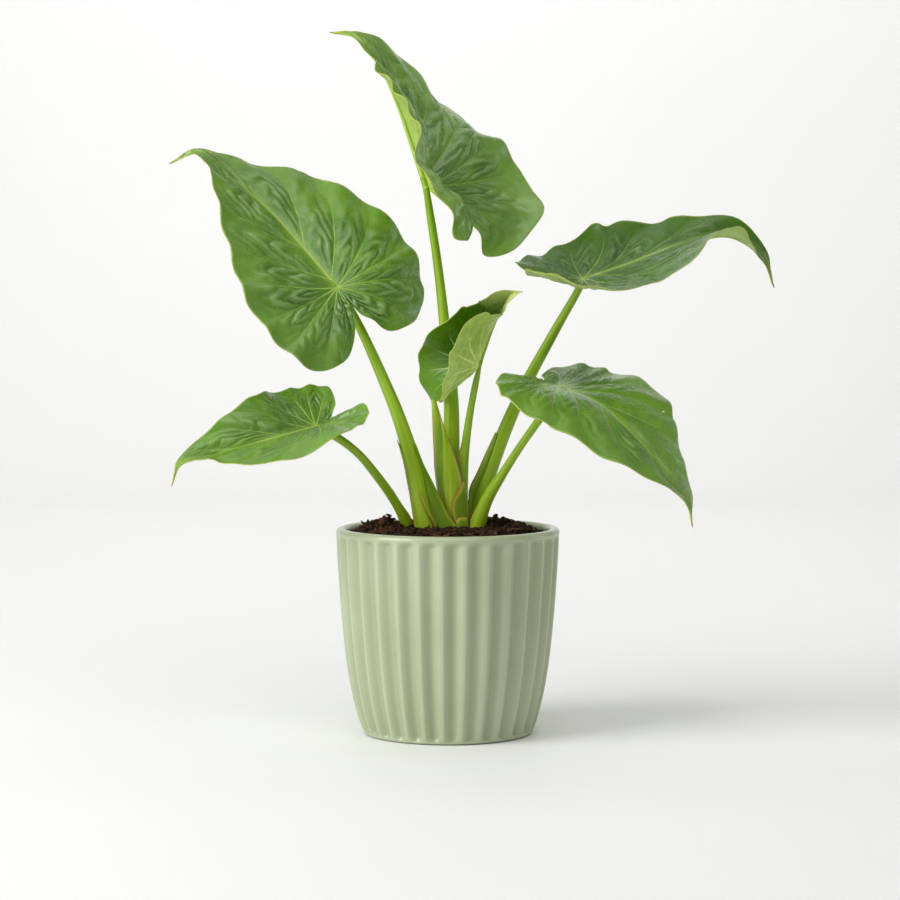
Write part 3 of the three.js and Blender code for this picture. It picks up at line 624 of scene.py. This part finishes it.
def flap(root, margin, bulge, base):
    """A thin sheet from its root curve to its free margin: points, faces from base on, and attributes."""
    rows, columns = 44, 9
    a, length = even_curve(root, rows)
    b, _ = even_curve(margin, rows)
    w = np.linspace(0, 1, columns)
    middle = a[:, None] + (b - a)[:, None] * w[:, None]
    normal = unit(np.cross(np.gradient(middle, axis=0), np.gradient(middle, axis=1)))
    if normal[..., 1].mean() > 0:
        normal = -normal
    middle = middle + normal * (bulge * np.sin(np.pi * w))[:, None]
    half = FLAP_HALF * (1 - FLAP_THINNING * w ** 4)[:, None]
    loop = np.concatenate([middle + normal * half, (middle - normal * half)[:, ::-1]], axis=1)
    wide = np.linalg.norm(b - a, axis=1)[:, None]
    across = 1 - np.clip((1 - np.concatenate([w, w[::-1]])) * wide / FLAP_SHADE, 0, 1)
    down = np.repeat(np.linspace(0, length, rows), 2 * columns)
    tube = np.column_stack([2 * across.ravel(), np.full(across.size, bulge), length - down])
    return loop.reshape(-1, 3), capped_faces(rows, 2 * columns, base), tube, across.ravel()


def add_flaps(name, points, faces, point):
    """Joins the membranes of a stalk or sheath to its faces and attributes, and gives all its points."""
    for root, margin, bulge in FLAPS.get(name, ()):
        more, more_faces, tube, edge = flap(root, margin, bulge, len(points))
        up = FLAP_UP * np.clip((more[:, 2] - STALK_FOOT) / FLAP_RISE, 0, 1)
        points = np.vstack([points, more])
        faces += more_faces
        # the membranes take painted shade near their roots
        for key, values in (("tube", tube), ("edge", edge), ("up", up), ("painted_shade", np.ones(len(more)))):
            point[key] = np.concatenate([point[key], values])
    return points


def stalk_piece(name, material):
    """A stalk from the soil to where it runs into the keel of its blade."""
    blade = Blade(LEAVES[name])
    y = np.array(STALK_ENDS)
    p, _, normal = blade.frame(y)
    radius = keel_radius(blade, y)
    path = np.vstack([STALKS[name]["path"], p - normal * (STALK_SUNK * radius)[:, None]])
    radii = np.concatenate([STALKS[name]["radius"], radius])
    samples, length = even_curve(np.column_stack([path, radii]), TUBE_SAMPLES)

    u = np.linspace(0, 1, TUBE_RINGS)
    here = sample_at(samples, u)
    tangent = unit(sample_at(samples, u + 0.005)[:, :3] - sample_at(samples, u - 0.005)[:, :3])
    right = np.tile([1.0, 0, 0], (TUBE_RINGS, 1))
    right = unit(right - (right * tangent).sum(-1, keepdims=True) * tangent)
    angle = circle(TUBE_SIDES)
    points = tube_points(here[:, :3], here[:, 3], right, np.cross(tangent, right), angle)
    faces = capped_faces(TUBE_RINGS, TUBE_SIDES)
    tube = np.broadcast_arrays(np.cos(angle)[None], np.sin(angle)[None], (u * length)[:, None])
    point = {
        "tube": np.stack(tube, -1).reshape(-1, 3),
        "edge": np.zeros(len(points)),
        "up": np.repeat(u, TUBE_SIDES),
        "painted_shade": np.zeros(len(points)),
    }
    points = add_flaps(name, points, faces, point)
    made = mesh_object("leaf_stalk_" + name, points, faces, [material], point=point)
    piece(made, "stalk", "stalk_" + name)


# Stations of the old sheath: axis, radius and wall in mm; its reach to the left and right of its front and
# the place of its crease in degrees; and how far it lies back beyond the crease in mm
SPEAR = dict(
    centre=[(4, 3, STALK_FOOT), (4, 3, 157), (3.1, 3, 176), (0.5, 2.4, 191.5), (-1, 1, 201.7),
            (-3.2, -1, 214.4), (-5.9, -4, 227), (-8.3, -6.5, 239.8), (-10.8, -6.5, 254.5)],
    radius=(11.4, 11.4, 11.1, 10.8, 10.1, 8.2, 6.1, 4.1, 2.1),
    thick=(2.6, 2.6, 2.6, 2.5, 2.4, 2.2, 2, 1.8, 1.2),
    left=(100, 100, 103, 105, 98, 90, 85, 80, 70),
    right=(80, 80, 76, 74, 72, 68, 65, 62, 60),
    crease=(-118, -118, -116, -112, -105, -93, -62, -38, -20),
    drop=(0, 0, 0.4, 1.1, 1.3, 1.3, 1.1, 0.8, 0),
)


def sheath_piece(material):
    """The old sheath, an open, pointed half tube."""
    arcs, rings = 60, 90
    samples, _ = even_curve(np.column_stack([SPEAR[k] for k in SPEAR]), TUBE_SAMPLES)
    rows = sample_at(samples, np.linspace(0, 1, rings))
    share = np.linspace(0, 1, arcs + 1)
    to_margin = 2 * np.abs(share - 0.5)
    thin = 1 - 0.8 * to_margin ** 3
    loop, strip = [], []
    for x, y, z, radius, thick, left, right, crease, drop in rows:
        angle = lerp(-90 + right, -90 - left, share)
        behind = smooth(-3, 6, crease - angle)
        outer = radius - np.minimum(drop, 0.3 * radius) * behind
        inner = radius - np.minimum(thick, 0.6 * radius) * thin
        outside, inside = (ring_at(r, np.radians(angle), z, x, y) for r in (outer, inner))
        loop.append(np.vstack([outside[::-1], inside]))
        strip.append(np.concatenate([(behind * min(drop, 1))[::-1], np.zeros(arcs + 1)]))
    columns = 2 * (arcs + 1)
    points, faces = np.concatenate(loop), capped_faces(rings, columns)
    point = {
        "tube": np.column_stack([points[:, 0] / 8, points[:, 1] / 8, points[:, 2] - STALK_FOOT]),
        "edge": np.tile(np.concatenate([to_margin[::-1], to_margin]), rings),
        "up": np.repeat(np.linspace(0, 1, rings), columns),
        # painted shade on the strip that lies back beyond the crease
        "painted_shade": 0.9 * np.concatenate(strip),
    }
    points = add_flaps("sheath", points, faces, point)
    made = mesh_object("old_sheath", points, faces, [material], point=point)
    piece(made, "stalk", "sheath")


# -------- pot
POT_HEIGHT = 157
POT_OUTER = [  # heights and radii
    (0, 64), (5, 66.2), (12, 68.6), (28, 72.8), (50, 76.8), (76, 79.9), (104, 82.3), (134, 84.2), (152, 85),
]
POT_WALL = 7.5
POT_FLOOR = 9
LIP_ROUND = 3.4
FOOT_ROUND = 2.4
FOOT_INSET = 3  # width of the flat ring inside the rounded foot
FLOOR_RING = 10.0  # radius of the face that closes the middle of the floor
FLUTES = 30
FLUTE_DEPTH = 3.6
FLUTE_TURN = math.radians(3)  # angle by which the groove nearest the front stands to its right
FLUTE_FOOT = (0.5, 6)  # heights over which the flutes set in
FLUTE_HEAD = (148.5, 153.5)  # and over which they end
WALL_RINGS = [(FOOT_ROUND, 12, 12), (16, 140, 32), (142, 153.6, 20)]  # spans of height and rings in each
pot_profile, _ = even_curve(POT_OUTER, 200)


def pot_radius(z):
    return np.interp(z, pot_profile[:, 0], pot_profile[:, 1])


def flute_depth(z, angle):
    fade = smooth(*FLUTE_FOOT, z) * (1 - smooth(*FLUTE_HEAD, z))
    return FLUTE_DEPTH * fade * (0.5 + 0.5 * np.cos(FLUTES * (angle + math.pi / 2 - FLUTE_TURN)))


INNER_HEIGHTS = (POT_FLOOR, POT_HEIGHT / 2, POT_HEIGHT - LIP_ROUND)
INNER_RADII = [pot_radius(z) - POT_WALL for z in INNER_HEIGHTS]


def inner_radius(z):
    return np.interp(z, INNER_HEIGHTS, INNER_RADII)


def pot_piece(material):
    columns = FLUTES * 16
    angle = circle(columns)
    rings, shade = [], []

    def ring(z, radius, depth=0.0):
        rings.append(ring_at(radius, angle, z))
        shade.append(np.broadcast_to(depth, angle.shape))

    ring(0, pot_radius(0) - FOOT_ROUND - FOOT_INSET)
    for turn in np.radians(np.linspace(0, 75, 6)):
        z = FOOT_ROUND * (1 - math.cos(turn))
        ring(z, pot_radius(z) - FOOT_ROUND * (1 - math.sin(turn)) - flute_depth(z, angle))
    for z in np.concatenate([np.linspace(*span) for span in WALL_RINGS]):
        depth = flute_depth(z, angle)
        ring(z, pot_radius(z) - depth, depth / FLUTE_DEPTH)
    lip = POT_HEIGHT - LIP_ROUND
    for turn in np.radians(np.linspace(0, 90, 9)[1:]):
        ring(lip + LIP_ROUND * math.sin(turn), pot_radius(lip) - LIP_ROUND * (1 - math.cos(turn)))
    for turn in np.radians(np.linspace(90, 0, 9)):
        ring(lip + LIP_ROUND * math.sin(turn), inner_radius(lip) + LIP_ROUND * (1 - math.cos(turn)))
    for z in np.linspace(lip - 2, POT_FLOOR, 12):
        ring(z, inner_radius(z))
    ring(POT_FLOOR, FLOOR_RING)
    made = mesh_object("fluted_pot", np.concatenate(rings), capped_faces(len(rings), columns), [material],
                       point={"groove": np.concatenate(shade)})
    piece(made, "pot", "pot")


# -------- soil
SOIL_EDGE = 150.5  # height at the pot's wall
SOIL_CROWN = 156  # and in the middle
SOIL_MOUND = (0.72, 1)  # share of the radius over which it falls from one to the other
SOIL_GAP = 0.3  # between the soil and the pot
SOIL_LUMPS = [  # place, height and width
    (-46, -2, 9, 8), (-60, 4, 4, 12), (36, 2, 9, 8), (49, 4, 5, 11), (-58, 24, 3, 12), (-8, 38, 4, 14),
    (30, 40, 3, 12), (-38, -48, 1.5, 10), (44, -44, 1.5, 10),
]
SOIL_GRAINS = [(1.5, 6, 1), (1.2, 3, 2), (0.7, 1.5, 3)]  # height, size and seed of its noise
STREWN_INSET = 4  # of the loose bits from the pot's wall


def soil_height(x, y):
    """Height of the plain soil, as in the part."""
    r = np.hypot(x, y) / inner_radius(SOIL_EDGE)
    mound = lerp(SOIL_CROWN, SOIL_EDGE, smooth(*SOIL_MOUND, r))
    crumbs = (0.7 * np.sin(0.31 * x + 1.3) * np.sin(0.27 * y + 0.4)
              + 0.5 * np.sin(0.53 * x - 0.4 * y) + 0.4 * np.cos(0.71 * y + 0.33 * x + 2))
    lumps = sum(high * np.exp(-((x - lx) ** 2 + (y - ly) ** 2) / (0.5 * wide ** 2))
                for lx, ly, high, wide in SOIL_LUMPS)
    return mound + (crumbs + lumps) * (1 - smooth(0.93, 1, r))


def soil_top(x, y):
    """The plain soil with its crumbly surface on it."""
    p = np.stack([x, y], -1)
    fine = sum(high * np.abs(noise_at(p, size, seed)) for high, size, seed in SOIL_GRAINS) - 0.8
    return soil_height(x, y) + fine * (1 - smooth(0.95, 1, np.hypot(x, y) / inner_radius(SOIL_EDGE)))


def soil_pieces(soil, bark, grain):
    """The bed of soil that fills the pot, and the loose bits on it."""
    sides, steps = 260, 90
    edge = inner_radius(SOIL_EDGE) - SOIL_GAP
    around = circle(sides)
    radius, angle = np.meshgrid(edge * (np.arange(1, steps + 1) / steps), around, indexing="ij")
    x, y = radius * np.cos(angle), radius * np.sin(angle)
    top = np.stack([x, y, soil_top(x, y)], -1).reshape(-1, 3)
    skirt = [ring_at(inner_radius(z) - SOIL_GAP, around, z) for z in (POT_HEIGHT / 2, POT_FLOOR + SOIL_GAP)]
    middle = [[0, 0, float(soil_top(np.zeros(1), np.zeros(1))[0])]]
    points = np.vstack([top, *skirt, middle])
    faces = grid_faces(steps + 2, sides, closed=True, flip=True)
    faces += [(len(points) - 1, j, (j + 1) % sides) for j in range(sides)]
    faces.append(tuple(range((steps + 1) * sides, (steps + 2) * sides)))
    piece(mesh_object("soil_bed", points, faces, [soil]), "soil", "soil")
    crumb_piece("soil_crumbs", soil, 1300, (0.9, 2.8), (1, 0.75, 0.6))
    crumb_piece("bark_bits", bark, 1000, (2.0, 5.0), (1, 0.36, 0.22))
    crumb_piece("light_grains", grain, 40, (0.4, 0.8), (1, 1, 1))


def crumb_piece(name, material, count, size, shape):
    """Loose bits strewn over the soil in one mesh, each a ball squashed to shape and roughened."""
    around, up = 7, 5
    lat = np.linspace(-np.pi / 2, np.pi / 2, up + 2)[1:-1]
    lon = circle(around)
    ball = np.stack([np.outer(np.cos(lat), np.cos(lon)), np.outer(np.cos(lat), np.sin(lon)),
                     np.outer(np.sin(lat), np.ones(around))], -1).reshape(-1, 3)
    ball = np.vstack([ball, [[0, 0, -1], [0, 0, 1]]])
    ball_faces = grid_faces(up, around, closed=True)
    ball_faces += [(len(ball) - 2, (j + 1) % around, j) for j in range(around)]
    top = (up - 1) * around
    ball_faces += [(len(ball) - 1, top + j, top + (j + 1) % around) for j in range(around)]
    points, faces = [], []
    edge = inner_radius(SOIL_EDGE) - STREWN_INSET
    for k in range(count):
        r, turn = edge * math.sqrt(rng.uniform(0.02, 1)), rng.uniform(0, 2 * np.pi)
        x, y = r * math.cos(turn), r * math.sin(turn)
        big = rng.uniform(*size) * rng.uniform(0.6, 1)
        rough = ball * (1 + rng.uniform(-0.38, 0.38, (len(ball), 1))) * shape * big
        a, b = unit(rng.normal(size=3) * (1, 1, 0.4)), rng.normal(size=3) * (0.5, 0.5, 1)
        b = unit(b - a * (a @ b))
        c = np.cross(a, b)
        z = float(soil_height(np.array(x), np.array(y))) + 0.25 * big + 0.4
        base = len(ball) * k
        points.append(rough @ np.array([a, b, c]) + [x, y, z])
        faces += [tuple(v + base for v in f) for f in ball_faces]
    made = mesh_object(name, np.concatenate(points), faces, [material])
    for polygon in made.data.polygons:
        polygon.use_smooth = False
    piece(made, "soil")


# -------- finishes
VEIN = "a4c44a"
MARGIN = "b3bd4e"
TIP = "6a4420"
TIP_YELLOW = "c9b62c"
SHADOW = "000000"
SHEEN = "a3b98a"


def near_vein(sh, v, spacing):
    """How far a point lies from the nearest side vein, as a share of the way to the next one and in mm."""
    cell = sh.math("FRACT", sh.math("ADD", v, 0.5))
    off = sh.math("ABSOLUTE", sh.math("SUBTRACT", cell, 0.5))
    return off, sh.times(off, spacing)


def vein_lines(sh, t, distance, widths, ends, fade):
    """The side veins as lines that fade to the margin; widths in mm at the midrib and the margin."""
    width = sh.step(t, 0, 1, *widths)
    line = sh.step(sh.math("DIVIDE", distance, width), *ends)
    return sh.times(line, sh.step(t, *fade))


def leaf_tip(sh, base):
    """The colour base, turned yellow at the blade's end and brown at its very tip."""
    along = sh.value("along")
    base = sh.cover(base, TIP_YELLOW, along, 0.91, 0.98, 0.85)
    return sh.cover(base, TIP, along, 0.975, 0.99, 0.9)


def leaf_upper(name, dark, light, vein=VEIN, gloss=0.85, painted_translucence=0.0):
    """Upper face: green in patches, with veins, a midrib, a margin and a tip, painted shade in the hollows
    of its folds and a painted sheen on their crests; a given share of painted light lightens its end,
    standing in for light shining through the blade.
    """
    sh = Shader(name, Specular_IOR_Level=gloss)
    v, spacing, t = sh.split(sh.attribute("veins"))
    flat = sh.attribute("flat")
    rib, along, fold = sh.value("rib"), sh.value("along"), sh.value("fold")
    off, distance = near_vein(sh, v, spacing)
    # patches, broad and small, and the lighter margin zone
    base = sh.cover(dark, light, sh.noise(flat, 0.035, 2), 0.3, 0.7, 0.7, 0.1)
    base = sh.cover(base, dark, sh.noise(flat, 0.13, 3), 0.35, 0.75, 0.25)
    base = sh.cover(base, light, t, 0.55, 0.97, 0.45)
    # painted light: the blade paler towards its end, standing in for light shining through it
    base = sh.cover(base, vein, along, 0.4, 0.8, painted_translucence)
    # painted shade in the hollows of the lesser folds, and a painted sheen on their crests
    base = sh.cover(base, sh.mix(0.5, dark, SHADOW), fold, -1.5, -0.1, 0, 0.6)
    base = sh.cover(base, sh.mix(0.6, light, SHEEN), fold, 0.1, 1.1, 0.5)
    # side veins, and the finer ones that leave them
    line = vein_lines(sh, t, distance, (0.6, 0.26), (1.6, 0.4), (1.0, 0.4, 0.0, 0.85))
    base = sh.mix(line, base, vein)
    lesser = sh.times(sh.math("SUBTRACT", t, sh.times(off, 0.4)), 9.0)
    lesser = sh.math("ADD", lesser, sh.times(sh.noise(flat, 0.12, 1), 3.0))
    lesser = sh.math("ABSOLUTE", sh.math("SUBTRACT", sh.math("FRACT", lesser), 0.5))
    thin = sh.times(sh.step(lesser, 0.05, 0.0), sh.step(t, 0.95, 0.7, 0, 0.2))
    base = sh.mix(thin, base, vein)
    # midrib and the paler zone beside it
    rib_width = sh.step(along, 0, 1, 1.1, 0.2)
    base = sh.cover(base, vein, sh.math("DIVIDE", rib, rib_width), 1.3, 0.6, 0.95)
    base = sh.cover(base, vein, rib, 7.0, 0.0, 0.35)
    base = sh.cover(base, MARGIN, t, 0.982, 0.997, 0.7)
    sh.set("Base Color", leaf_tip(sh, base))
    sh.set("Roughness", sh.step(sh.noise(flat, 0.3, 2), 0.3, 0.7, 0.25, 0.35))
    grain = sh.noise(flat, 0.9, 4, 0.65)
    height = sh.math("ADD", sh.times(grain, 0.5), sh.times(thin, -1.0))
    height = sh.math("SUBTRACT", height, sh.times(line, 0.8))
    sh.set("Normal", sh.bump(height, 0.0004, 0.6))
    return sh.material


def leaf_under(name, dark, light, vein):
    """Under face: paler, with raised veins and a net of fine ones between them."""
    sh = Shader(name, Specular_IOR_Level=0.35)
    v, spacing, t = sh.split(sh.attribute("veins"))
    flat = sh.attribute("flat")
    _, distance = near_vein(sh, v, spacing)
    base = sh.cover(dark, light, sh.noise(flat, 0.06, 3), 0.3, 0.7)
    line = vein_lines(sh, t, distance, (0.9, 0.3), (1.5, 0.5), (1.0, 0.6, 0.0, 0.8))
    base = sh.mix(line, base, vein)
    net = sh.node("TexVoronoi", feature="DISTANCE_TO_EDGE")
    sh.join(flat, net.inputs["Vector"])
    net.inputs["Scale"].default_value = 0.16
    base = sh.cover(base, vein, net.outputs["Distance"], 0.07, 0.0, 0.35)
    base = sh.cover(base, dark, net.outputs["Distance"], 0.1, 0.5, 0.5)
    base = sh.cover(base, MARGIN, t, 0.975, 0.995, 0.8)
    sh.set("Base Color", leaf_tip(sh, base))
    sh.set("Roughness", sh.step(sh.noise(flat, 0.3, 2), 0.3, 0.7, 0.45, 0.6))
    sh.set("Normal", sh.bump(sh.noise(flat, 0.8, 4, 0.6), 0.0003, 0.5))
    return sh.material


def along_shader(name, roughness, foot, end, low=0.0, high=1.0):
    """A colour that changes along the blade, for its rim and its keel."""
    sh = Shader(name, Roughness=roughness)
    sh.set("Base Color", sh.cover(foot, end, sh.value("along"), low, high))
    return sh.material


def leaf_parts(name, under, keel):
    """The materials of a blade's under face, rim and keel."""
    return [leaf_under(name + "_under", *under), along_shader(name + "_rim", 0.5, MARGIN, TIP, 0.96, 0.99),
            along_shader(name + "_keel", 0.4, *keel)]


def stalk_shader(name, low, high, pale, brown):
    """Skin of stalks and sheaths: streaked along them, with ragged brown edges, and painted shade on the
    membranes near their roots and on the sheath's strip that lies back beyond its crease.
    """
    sh = Shader(name, Specular_IOR_Level=0.35)
    tube = sh.attribute("tube")
    edge, up, painted_shade = sh.value("edge"), sh.value("up"), sh.value("painted_shade")
    x, y, z = sh.split(tube)
    streak, fine = (
        sh.noise(sh.node("CombineXYZ", x, y, sh.times(z, squeeze)).outputs[0], scale, detail, rough)
        for squeeze, scale, detail, rough in ((0.008, 2.6, 3, 0.6), (0.02, 11, 2, 0.5)))
    base = sh.cover(low, high, up, 0.05, 0.6)
    base = sh.cover(base, pale, streak, 0.48, 0.75, 0.4)
    base = sh.cover(base, "4f7c0a", streak, 0.5, 0.3, 0.25)
    base = sh.cover(base, pale, fine, 0.5, 0.75, 0.15)
    # painted shade: darker green on the membranes near their roots and on the sheath behind its crease
    base = sh.mix(sh.times(painted_shade, sh.step(edge, 0.9, 0.2, 0, 0.6)), base, "3c6c08")
    ragged = sh.math("ADD", edge, sh.times(sh.noise(tube, 0.6, 2), 0.14))
    base = sh.cover(base, pale, ragged, 0.78, 0.9, 0.5)
    base = sh.cover(base, brown, ragged, 0.85, 0.94, 0.9)
    sh.set("Base Color", base)
    sh.set("Roughness", sh.step(streak, 0.3, 0.7, 0.36, 0.5))
    sh.set("Normal", sh.bump(sh.math("ADD", streak, sh.times(fine, 0.5)), 0.0005, 0.5))
    return sh.material


def glaze_shader():
    """Sage glaze, with painted shade in the grooves, darker fine specks, a painted highlight along the
    crests, and a darker brown-grey band at the very foot.
    """
    sh = Shader("sage_glaze", Specular_IOR_Level=0.5, Coat_Weight=0.45, Coat_Roughness=0.1)
    place = sh.place()
    z = sh.split(place)[2]
    groove = sh.value("groove")
    base = sh.cover("a5b08b", "acb794", sh.noise(place, 14, 3), 0.35, 0.65)
    # painted shade: darker in the grooves
    base = sh.cover(base, "8c9870", groove, 0.2, 1.0, 0.3)
    # painted highlight: thin paler lines along the crests, standing in for their reflections
    crest_highlight = sh.times(sh.step(groove, 0.06, 0.0), sh.step(z, 0.153, 0.149))
    base = sh.mix(sh.times(crest_highlight, 0.4), base, "c3c8a8")
    base = sh.cover(base, "8f9a78", sh.noise(place, 900, 1), 0.72, 0.8, 0.25)
    # darker brown-grey over the lowest 1.6 mm of the foot
    base = sh.cover(base, "5b5648", z, 0.0016, 0.0004, 0.8)
    sh.set("Base Color", base)
    sh.set("Roughness", sh.step(sh.noise(place, 60, 3), 0.3, 0.7, 0.3, 0.38))
    height = sh.math("ADD", sh.noise(place, 35, 2), sh.times(sh.noise(place, 400, 3), 0.15))
    sh.set("Normal", sh.bump(height, 0.0006, 0.35))
    return sh.material


def soil_shader(name, dark, light, scale):
    """Matt, grainy brown."""
    sh = Shader(name, Specular_IOR_Level=0.25, Roughness=0.9)
    place = sh.place()
    sh.set("Base Color", sh.cover(dark, light, sh.noise(place, scale, 5, 0.7), 0.35, 0.7))
    sh.set("Normal", sh.bump(sh.noise(place, 2 * scale, 4, 0.7), 0.001, 0.8))
    return sh.material


def stage_shader():
    sh = Shader("pale_stage", Roughness=0.6, Specular_IOR_Level=0.2)
    place = sh.place()
    sh.set("Base Color", sh.mix(sh.noise(place, 2, 2), "fcfcfb", "f9f9f8"))
    return sh.material


# -------- assembly
upper = leaf_upper("leaf_upper", "467618", "76a42c")
# lit and shaded copies of the upper face: painted shade darkens the right_high blade, painted sunlight
# lightens the top blade
shaded = leaf_upper("leaf_upper_shaded", "31590a", "4f7c12", gloss=0.4)
sunny = leaf_upper("leaf_upper_sunny", "548422", "86b43c")
# young upper face: its end lightened by painted light that stands in for light shining through it
young = leaf_upper("young_upper", "365f04", "679612", "cfe088", gloss=0.4, painted_translucence=0.85)
full_parts = leaf_parts("leaf", ("8fae4a", "a3bd5a", "bccf68"), ("98bd28", "b2cb58"))
# the young blade's under face is paler: partly its own paler colour, partly painted light standing in for
# light shining through it
young_parts = leaf_parts("young", ("98bc42", "c4de70", "e0ee90"), ("9bbb3c", "b2cc60"))
finishes = {
    "young": [young, *young_parts], "right_high": [shaded, *full_parts], "top": [sunny, *full_parts],
}
stalk_skin = stalk_shader("stalk_skin", "9cbd14", "84ab14", "bdd040", "b0703a")
sheath_skin = stalk_shader("sheath_skin", "acc41a", "98bc18", "cfe05c", "b5763e")

pot_piece(glaze_shader())
soil_pieces(soil_shader("dark_soil", "1d120c", "3d2a1d", 260),
            soil_shader("bark", "24120a", "6a452b", 120),
            soil_shader("pale_grain", "8a7a63", "b5a68c", 500))
for leaf_name in LEAVES:
    stalk_piece(leaf_name, stalk_skin)
    blade_piece(leaf_name, finishes.get(leaf_name, [upper, *full_parts]))
sheath_piece(sheath_skin)
rhizome_skin = soil_shader("rhizome_skin", "4a2f1b", "6f4c30", 200)
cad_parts["rhizome"].data.materials.clear()
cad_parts["rhizome"].data.materials.append(rhizome_skin)


# -------- stage, light and camera
def stage():
    """Floor that sweeps up into a backdrop behind the plant."""
    width, front, back, bend, top = 6000, -6000, 2300, 500, 2600
    turn = np.radians(np.linspace(0, 90, 13))
    sweep = [(back + bend * math.sin(a), bend * (1 - math.cos(a))) for a in turn]
    profile = [(front, 0), *sweep, (back + bend, top)]
    points = [(x, y, z) for y, z in profile for x in (-width, width)]
    faces = grid_faces(len(profile), 2, flip=True)
    made = mesh_object("floor_and_backdrop", points, faces, [stage_shader()])


def lamp(name, place, target, size, watts):
    """A white area light of a size in metres, turned towards its target."""
    data = bpy.data.lights.new(name, "AREA")
    data.shape = "RECTANGLE"
    data.size, data.size_y = size
    data.energy = watts
    made = bpy.data.objects.new(name, data)
    made.location = place
    made.rotation_euler = (Vector(target) - Vector(place)).to_track_quat("-Z", "Y").to_euler()
    scene.collection.objects.link(made)


AIM = (0, 0, 0.28)
ROOM_LIGHT = 0.24
SENSOR, LENS = 36, 108
FOCAL_PIXELS = 2700  # the same lens in pixels of the 900 pixel wide picture
HORIZON_PIXELS = 159  # how far the horizon lies above the picture's middle

stage()
lamp("key_light", (-1.9, -1.1, 1.2), AIM, (1.5, 1.8), 50)
lamp("fill_light", (2.0, -1.3, 0.9), AIM, (1.5, 1.5), 1)
lamp("top_light", (-0.2, 0.0, 2.1), AIM, (2.2, 1.6), 6)
lamp("front_light", (0.25, -1.3, 1.7), AIM, (1.3, 0.9), 7.5)
lamp("backdrop_light", (0, 1.2, 2.2), (0, 2.8, 0.9), (3.0, 0.6), 25)
lamp("rim_light", (1.5, 0.55, 0.6), (0, 0, 0.1), (0.25, 1.1), 2.5)
world = bpy.data.worlds.new("soft_room")
world.use_nodes = True
background = world.node_tree.nodes["Background"]
background.inputs["Color"].default_value = (1, 1, 1, 1)
background.inputs["Strength"].default_value = ROOM_LIGHT
scene.world = world
scene.view_settings.view_transform = "Standard"

camera_data = bpy.data.cameras.new("camera")
camera_data.sensor_width = SENSOR
camera_data.lens = LENS
camera = bpy.data.objects.new("camera", camera_data)
camera.location = (0.0015, -2.049, 0.3365)
camera.rotation_euler = (math.pi / 2 - math.atan(HORIZON_PIXELS / FOCAL_PIXELS), 0, 0)
scene.collection.objects.link(camera)
scene.camera = camera
